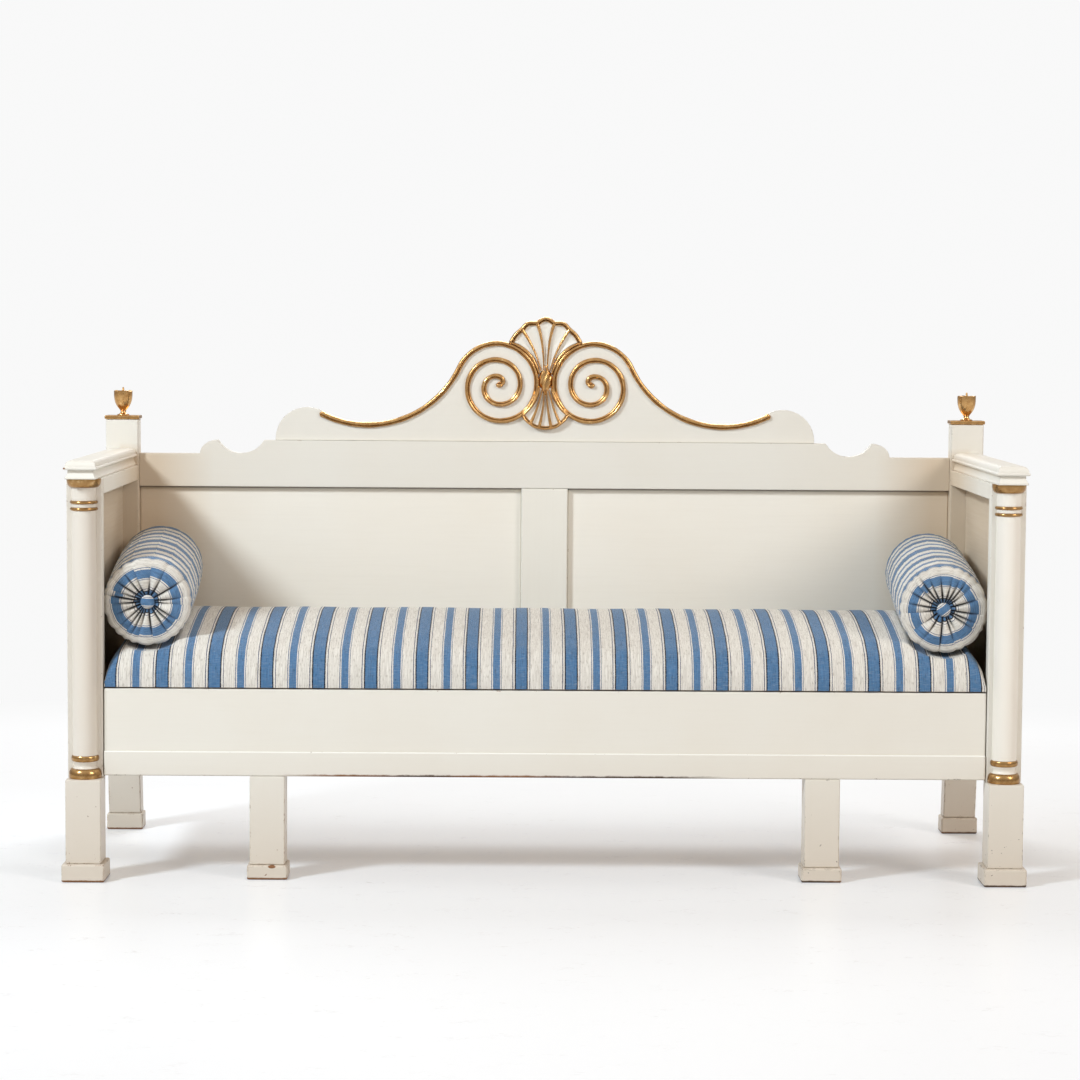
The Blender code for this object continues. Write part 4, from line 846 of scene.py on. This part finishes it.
past_end, deepest = 0.06, 0.05
for side, tag in SIDES:
    near, far = roll_axis(tag)
    axis = np.array((near - far).normalized())
    from_middle = np.array([v.co for v in seat.data.vertices]) - np.array((near + far) / 2)
    run = from_middle @ axis
    aside = from_middle - run[:, None] * axis
    fall = np.array((0.0, 0.0, -1.0)) + axis * axis[2]
    aim, steep = aside @ fall, fall @ fall
    half_run = (near - far).length / 2
    front_ease = np.clip((run / half_run - 0.5) / 0.5, 0, 1) ** 1.5
    ease = 0.0032 + 0.0090 * front_ease - 0.2 * np.clip(run - half_run, 0, past_end)
    room = (ROLL_RADIUS + ease) ** 2 - (aside * aside).sum(1)
    sink = (-aim + np.sqrt(np.maximum(aim * aim + steep * room, 0.0))) / steep
    under = (room > 0) & (run < half_run + past_end) & (run > -half_run - 0.004)
    for i in np.flatnonzero(under):
        seat.data.vertices[i].co.z -= min(sink[i], deepest)
soften(seat)

# Bolsters: tubes of the same ticking over a hard stuffed roll. Each end is gathered with a
# drawn thread into irregular pleats round a covered button, so the stripes become rings.


def uneven(seed, count, low=0.0, more=1.0):
    """Repeatable uneven numbers from low to low + more."""
    raw = [(math.sin(k * 12.9898 + seed * 78.233) * 43758.5453) % 1.0 for k in range(count)]
    return low + more * np.array(raw)


def bolster_skin(length, radius):
    """Faces, points, cloth places and crease shades, how dark each fold is painted, of a bolster along Z,
    with its front end at +Z.
    """
    folds = 20
    cuts = np.cumsum(np.append(0.0, uneven(3, folds, 0.45, 1.1)))
    cuts = cuts / cuts[-1] * math.tau
    stops = np.array((0.0, 0.02, 0.05, 0.10, 0.19, 0.33, 0.50, 0.67, 0.81, 0.90, 0.95, 0.98))
    which = np.repeat(np.arange(folds), len(stops))
    share = np.tile(stops, folds)
    width = (cuts[1:] - cuts[:-1])[which]
    turns = cuts[which] + share * width
    steps = len(turns)
    reach = uneven(4, folds + 1, 0.55, 0.5)
    reach[folds] = reach[0]
    slip = ((uneven(5, folds) - 0.5) * 0.0072)[which]
    lean = uneven(6, folds, 0.5, 1.3)[which]
    plump = uneven(7, folds, 0.6, 0.6)[which]
    from_crease = np.minimum(share, 1 - share) * width
    crease_reach = np.where(share < 0.5, reach[which], reach[which + 1])
    hill = np.sin(np.pi * share**lean) ** 0.8 * plump
    drawn = np.cos(math.tau * share)
    pinch = np.exp(-((from_crease * radius / 0.006) ** 2))
    seam_bulge = 0.0013 * np.sin(np.pi * share) - 0.0019 * pinch

    cloth_from = np.array((0.0, 26.0, 29.5, 31.0, 51.0, 52.2, 53.2, 73.0, 75.0, 76.2, 97.0)) / 1000
    cloth_to = np.array((0.0, 27.4, 31.0, 32.5, 55.9, 57.1, 59.1, 74.1, 76.1, 77.3, 106.0)) / 1000
    end_rings, corner_rings, body_rings = 28, 7, 34
    rounding, button, half = 0.0095, 0.0135, length / 2
    flat_r = radius - rounding
    dish, swell, set_back = 0.0105, 0.0022, 0.0022
    rings = []
    for r in np.linspace(button, flat_r, end_rings):
        t = (r - button) / (flat_r - button)
        rings.append((r, half - dish * (1 - t) ** 2.2 + swell * math.sin(math.pi * t) - set_back, r))
    for i in range(1, corner_rings + 1):
        turn = math.pi / 2 * i / corner_rings
        z = half - set_back - rounding * (1 - math.cos(turn))
        rings.append((flat_r + rounding * math.sin(turn), z, flat_r + rounding * turn))
    _, flat, end_run = rings[-1]
    whole = 2 * end_run + 2 * flat
    back_end = [(r, -z, whole - run) for r, z, run in reversed(rings)]
    for i in range(1, body_rings):
        fall = 2 * flat * i / body_rings
        rings.append((radius, flat - fall, end_run + fall))
    rings += back_end

    crease_width, crease_depth, puff_height, belly = 0.0018, 0.0068, 0.0064, 0.0030
    points, across, along, crease_shades = [], [], [], []
    for r0, z0, run in rings:
        sign = 1.0 if z0 >= 0 else -1.0
        from_end = min(run, whole - run)
        t = from_end / radius
        fade = np.clip((crease_reach - t) / 0.42, 0, 1) * clamp((t - 0.16) / 0.03)
        groove = np.exp(-((from_crease * r0 / (crease_width * min(1.0, r0 / 0.034))) ** 2)) * fade
        puff = puff_height * clamp((1.0 - t) / 0.45) * clamp((t - 0.20) / 0.14)
        core = clamp((0.36 - t) / 0.10)
        lift = puff * hill - crease_depth * groove - core * (0.0016 * drawn + 0.0006)
        bulge = math.exp(-(((t - 1.03) / 0.13) ** 2)) * (1.0 if sign > 0 else 0.3) * seam_bulge
        body = clamp((t - 1.0) / 0.25)
        sway = body * 0.0008 * math.sin(11.0 * run + 3.0) * np.sin(turns * 2 + 5.0 * run)
        r = r0 + bulge + sway + body * belly * (1 - (z0 / half) ** 2)
        points.append(np.stack([r * np.cos(turns), r * np.sin(turns), z0 + sign * lift], 1))
        cut = np.interp(from_end, cloth_from, cloth_to) + max(from_end - cloth_from[-1], 0.0)
        cut = cut if z0 >= 0 else whole + cloth_to[-1] - cloth_from[-1] - cut
        across.append(cut + slip * sign * clamp((0.98 - t) / 0.2))
        along.append(turns * max(r0, 0.03))
        # How dark each crease is painted: painted shade, deepest near the button.
        crease_shades.append(np.clip(groove * (1.6 - t) + core * np.clip(drawn, 0, 1) ** 6 * 0.9, 0, 1))
    rows = len(points)
    faces = []
    for j in range(rows - 1):
        for k in range(steps):
            n = (k + 1) % steps
            faces.append((j * steps + k, j * steps + n, (j + 1) * steps + n, (j + 1) * steps + k))
    faces += [tuple(range(steps)), tuple(range((rows - 1) * steps, rows * steps))]
    return faces, *(np.concatenate(values) for values in (points, across, along, crease_shades))


near, far = roll_axis("left")
end_pad = 0.0057
faces, skin, across, along, crease_and_shade = bolster_skin((near - far).length + 2 * end_pad, ROLL_RADIUS)
form = bpy.data.meshes.new("roll_form")
form.from_pydata(skin.tolist(), [], faces)
roll_form = put("roll_form", form)
stuff(roll_form, np.clip(crease_and_shade * 1.3, 0, 1), 1.2, 0.0009)
skin = np.array([v.co for v in form.vertices])
bpy.data.objects.remove(roll_form)

button_r, button_rise, button_sunk, button_rings, button_steps = 0.0146, 0.0062, 0.0032, 14, 40
roll_turn, button_turn = {"left": 20, "right": 137}, {"left": 2, "right": -38}
blue_middle = (sum(width for width, _ in STRIPES[:8]) + STRIPES[8][0] / 2) / 1000
for side, tag in SIDES:
    near, far = roll_axis(tag)
    axis = (near - far).normalized()
    level = axis.cross(Vector((0, 0, 1))).normalized()
    upward = level.cross(axis)
    spin = Matrix.Rotation(math.radians(roll_turn[tag]), 3, "Z")
    turn = Matrix((-side * level, upward, axis)).transposed() @ spin
    place = Matrix.Translation((near + far) / 2) @ turn.to_4x4()
    mesh_data = bmesh.new()
    verts = [mesh_data.verts.new(place @ Vector(p)) for p in skin]
    for face in faces:
        mesh_data.faces.new([verts[i] for i in face])
    body = f"bolster_{tag}"
    roll = fit_piece(f"bolster_cover_{tag}", mesh_data, ticking, [body], 80.0, body)
    lay_threads(roll.data, across, along, crease_and_shade)
    soften(roll)

    tilt = math.radians(button_turn[tag])
    for end, centre, out in (("front", near, axis), ("back", far, -axis)):
        mesh_data = bmesh.new()
        rings = []
        for i in range(button_rings + 1):
            t = math.pi / 2 * i / button_rings
            r = max(button_r * math.cos(t) ** 0.85, 1e-5)
            rise = out * (button_rise * math.sin(t) - button_sunk)
            ring = []
            for k in range(button_steps):
                a = math.tau * k / button_steps
                spot = centre + (level * math.cos(a) + upward * math.sin(a)) * r + rise
                ring.append(mesh_data.verts.new(spot))
            rings.append(ring)
        stitch(mesh_data, rings, closed=True)
        mesh_data.faces.new(rings[0])
        bmesh.ops.remove_doubles(mesh_data, verts=mesh_data.verts, dist=2e-5)
        name, replaced = f"covered_button_{end}_{tag}", [f"bolster_button_{end}_{tag}"]
        button = fit_piece(name, mesh_data, ticking, replaced, 60.0, body)
        spots = [v.co - centre for v in button.data.vertices]
        beside, above = (np.array([spot.dot(way) for spot in spots]) for way in (level, upward))
        lay_threads(button.data, blue_middle + above * math.cos(tilt) - beside * math.sin(tilt), beside)

# Studio: a pale floor that runs out into a white backdrop, one lamp high on the left that
# models the carving, weaker soft lamps on the right and behind, and a long lens at standing height.
WHITE, FLOOR, SCUFF = (0.945, 0.945, 0.945), (0.75, 0.76, 0.77), (0.40, 0.375, 0.355)
mesh_data = bmesh.new()
bmesh.ops.create_grid(mesh_data, x_segments=2, y_segments=2, size=14.0)
floor_mesh = bpy.data.meshes.new("floor")
mesh_data.to_mesh(floor_mesh)
mesh_data.free()
floor = put("floor", floor_mesh)
floor.location.z = -0.0004
floor_paint, tree, shader = new_finish("pale_floor")
spot = add(tree, "ShaderNodeTexCoord").outputs["Object"]
wide_marks = noise(spot, 9.0, 5.0, 0.7, (1.0, 2.0, 1.0))
fine_marks = noise(spot, 70.0, 4.0, 0.75, (1.0, 3.0, 1.0))
boards = tint(spread(times(wide_marks, fine_marks), 0.33, 0.40, 0.0, 0.5), FLOOR, SCUFF)
path_kind = add(tree, "ShaderNodeLightPath").outputs
mirrored = larger(path_kind["Is Glossy Ray"], path_kind["Is Transmission Ray"])
seen = larger(path_kind["Is Camera Ray"], mirrored)
feed(shader, {"Base Color": boards, "Roughness": 0.28, "Specular IOR Level": 0.12})
feed(shader, {"Emission Color": (0.92, 0.97, 1.0, 1.0), "Emission Strength": times(seen, 0.19)})
glow = add(tree, "ShaderNodeEmission", {"Color": (*WHITE, 1.0), "Strength": 1.0})
away = spread(distance(spot, (0.55, 1.0, 1.0)), 0.75, 2.6)
# Behind the object the floor blends, up to 0.7, into the backdrop white for camera and mirror rays: painted
# light on the floor there.
behind = add(tree, "ShaderNodeSeparateXYZ", {0: spot}).outputs["Y"]
far = times(larger(away, spread(behind, 0.25, 0.9, 0.0, 0.7)), seen)
blend = add(tree, "ShaderNodeMixShader", {0: far, 1: shader.outputs[0], 2: glow.outputs[0]})
feed(tree.nodes["Material Output"], {"Surface": blend.outputs[0]})
floor_mesh.materials.append(floor_paint)

world = bpy.data.worlds.new("white_studio")
scene.world = world
world.use_nodes = True
tree = world.node_tree
path_kind = add(tree, "ShaderNodeLightPath").outputs
way = add(tree, "ShaderNodeTexCoord").outputs["Generated"]
height = add(tree, "ShaderNodeSeparateXYZ", {0: way}).outputs["Z"]
ceiling = tint(spread(height, 0.0, 0.7), (0.21, 0.165, 0.13), (0.43, 0.345, 0.275))
mirrored = larger(path_kind["Is Glossy Ray"], path_kind["Is Transmission Ray"])
studio = tint(spread(height, -0.1, 0.6), (0.30, 0.27, 0.24), WHITE)
backdrop = tint(path_kind["Is Camera Ray"], tint(mirrored, ceiling, studio), WHITE)
feed(tree.nodes["Background"], {"Color": backdrop})


def lamp(name, place, aim, size, power, colour):
    """A round, soft lamp that is aimed at a place."""
    light = bpy.data.lights.new(name, "AREA")
    light.shape = "DISK"
    light.size = size
    light.energy = power
    light.color = colour
    made = put(name, light)
    made.location = place
    made.rotation_euler = (Vector(aim) - Vector(place)).to_track_quat("-Z", "Y").to_euler()


lamp("key_left", (-4.4, -3.7, 4.5), (0.0, 0.0, 0.6), 1.15, 360.0, (0.823, 0.917, 1.0))
lamp("fill_right", (4.3, -3.7, 3.6), (0.0, 0.0, 0.6), 2.2, 138.0, (1.0, 0.963, 0.939))
lamp("backdrop_lamp", (0.0, 2.2, 2.5), (0.0, 2.5, 0.0), 2.0, 84.0, (0.906, 0.953, 1.0))

film_width, focal_pixels, frame_pixels = 36.0, 2801.65, 1080
eye = Vector((-0.0525, -6.0615, 1.1543))
pitch, roll, yaw = 0.0762, 0.0067, 0.0067
ahead = Vector((math.sin(yaw) * math.cos(pitch), math.cos(yaw) * math.cos(pitch), -math.sin(pitch)))
right = Vector((math.cos(yaw), -math.sin(yaw), 0.0))
upright = right.cross(ahead)
right, upright = (
    right * math.cos(roll) + upright * math.sin(roll),
    upright * math.cos(roll) - right * math.sin(roll),
)
lens = bpy.data.cameras.new("studio_camera")
lens.sensor_width = film_width
lens.lens = film_width * focal_pixels / frame_pixels
camera = put("studio_camera", lens)
camera.matrix_world = Matrix.Translation(eye) @ Matrix((right, upright, -ahead)).transposed().to_4x4()
scene.camera = camera
scene.view_settings.view_transform = "Standard"
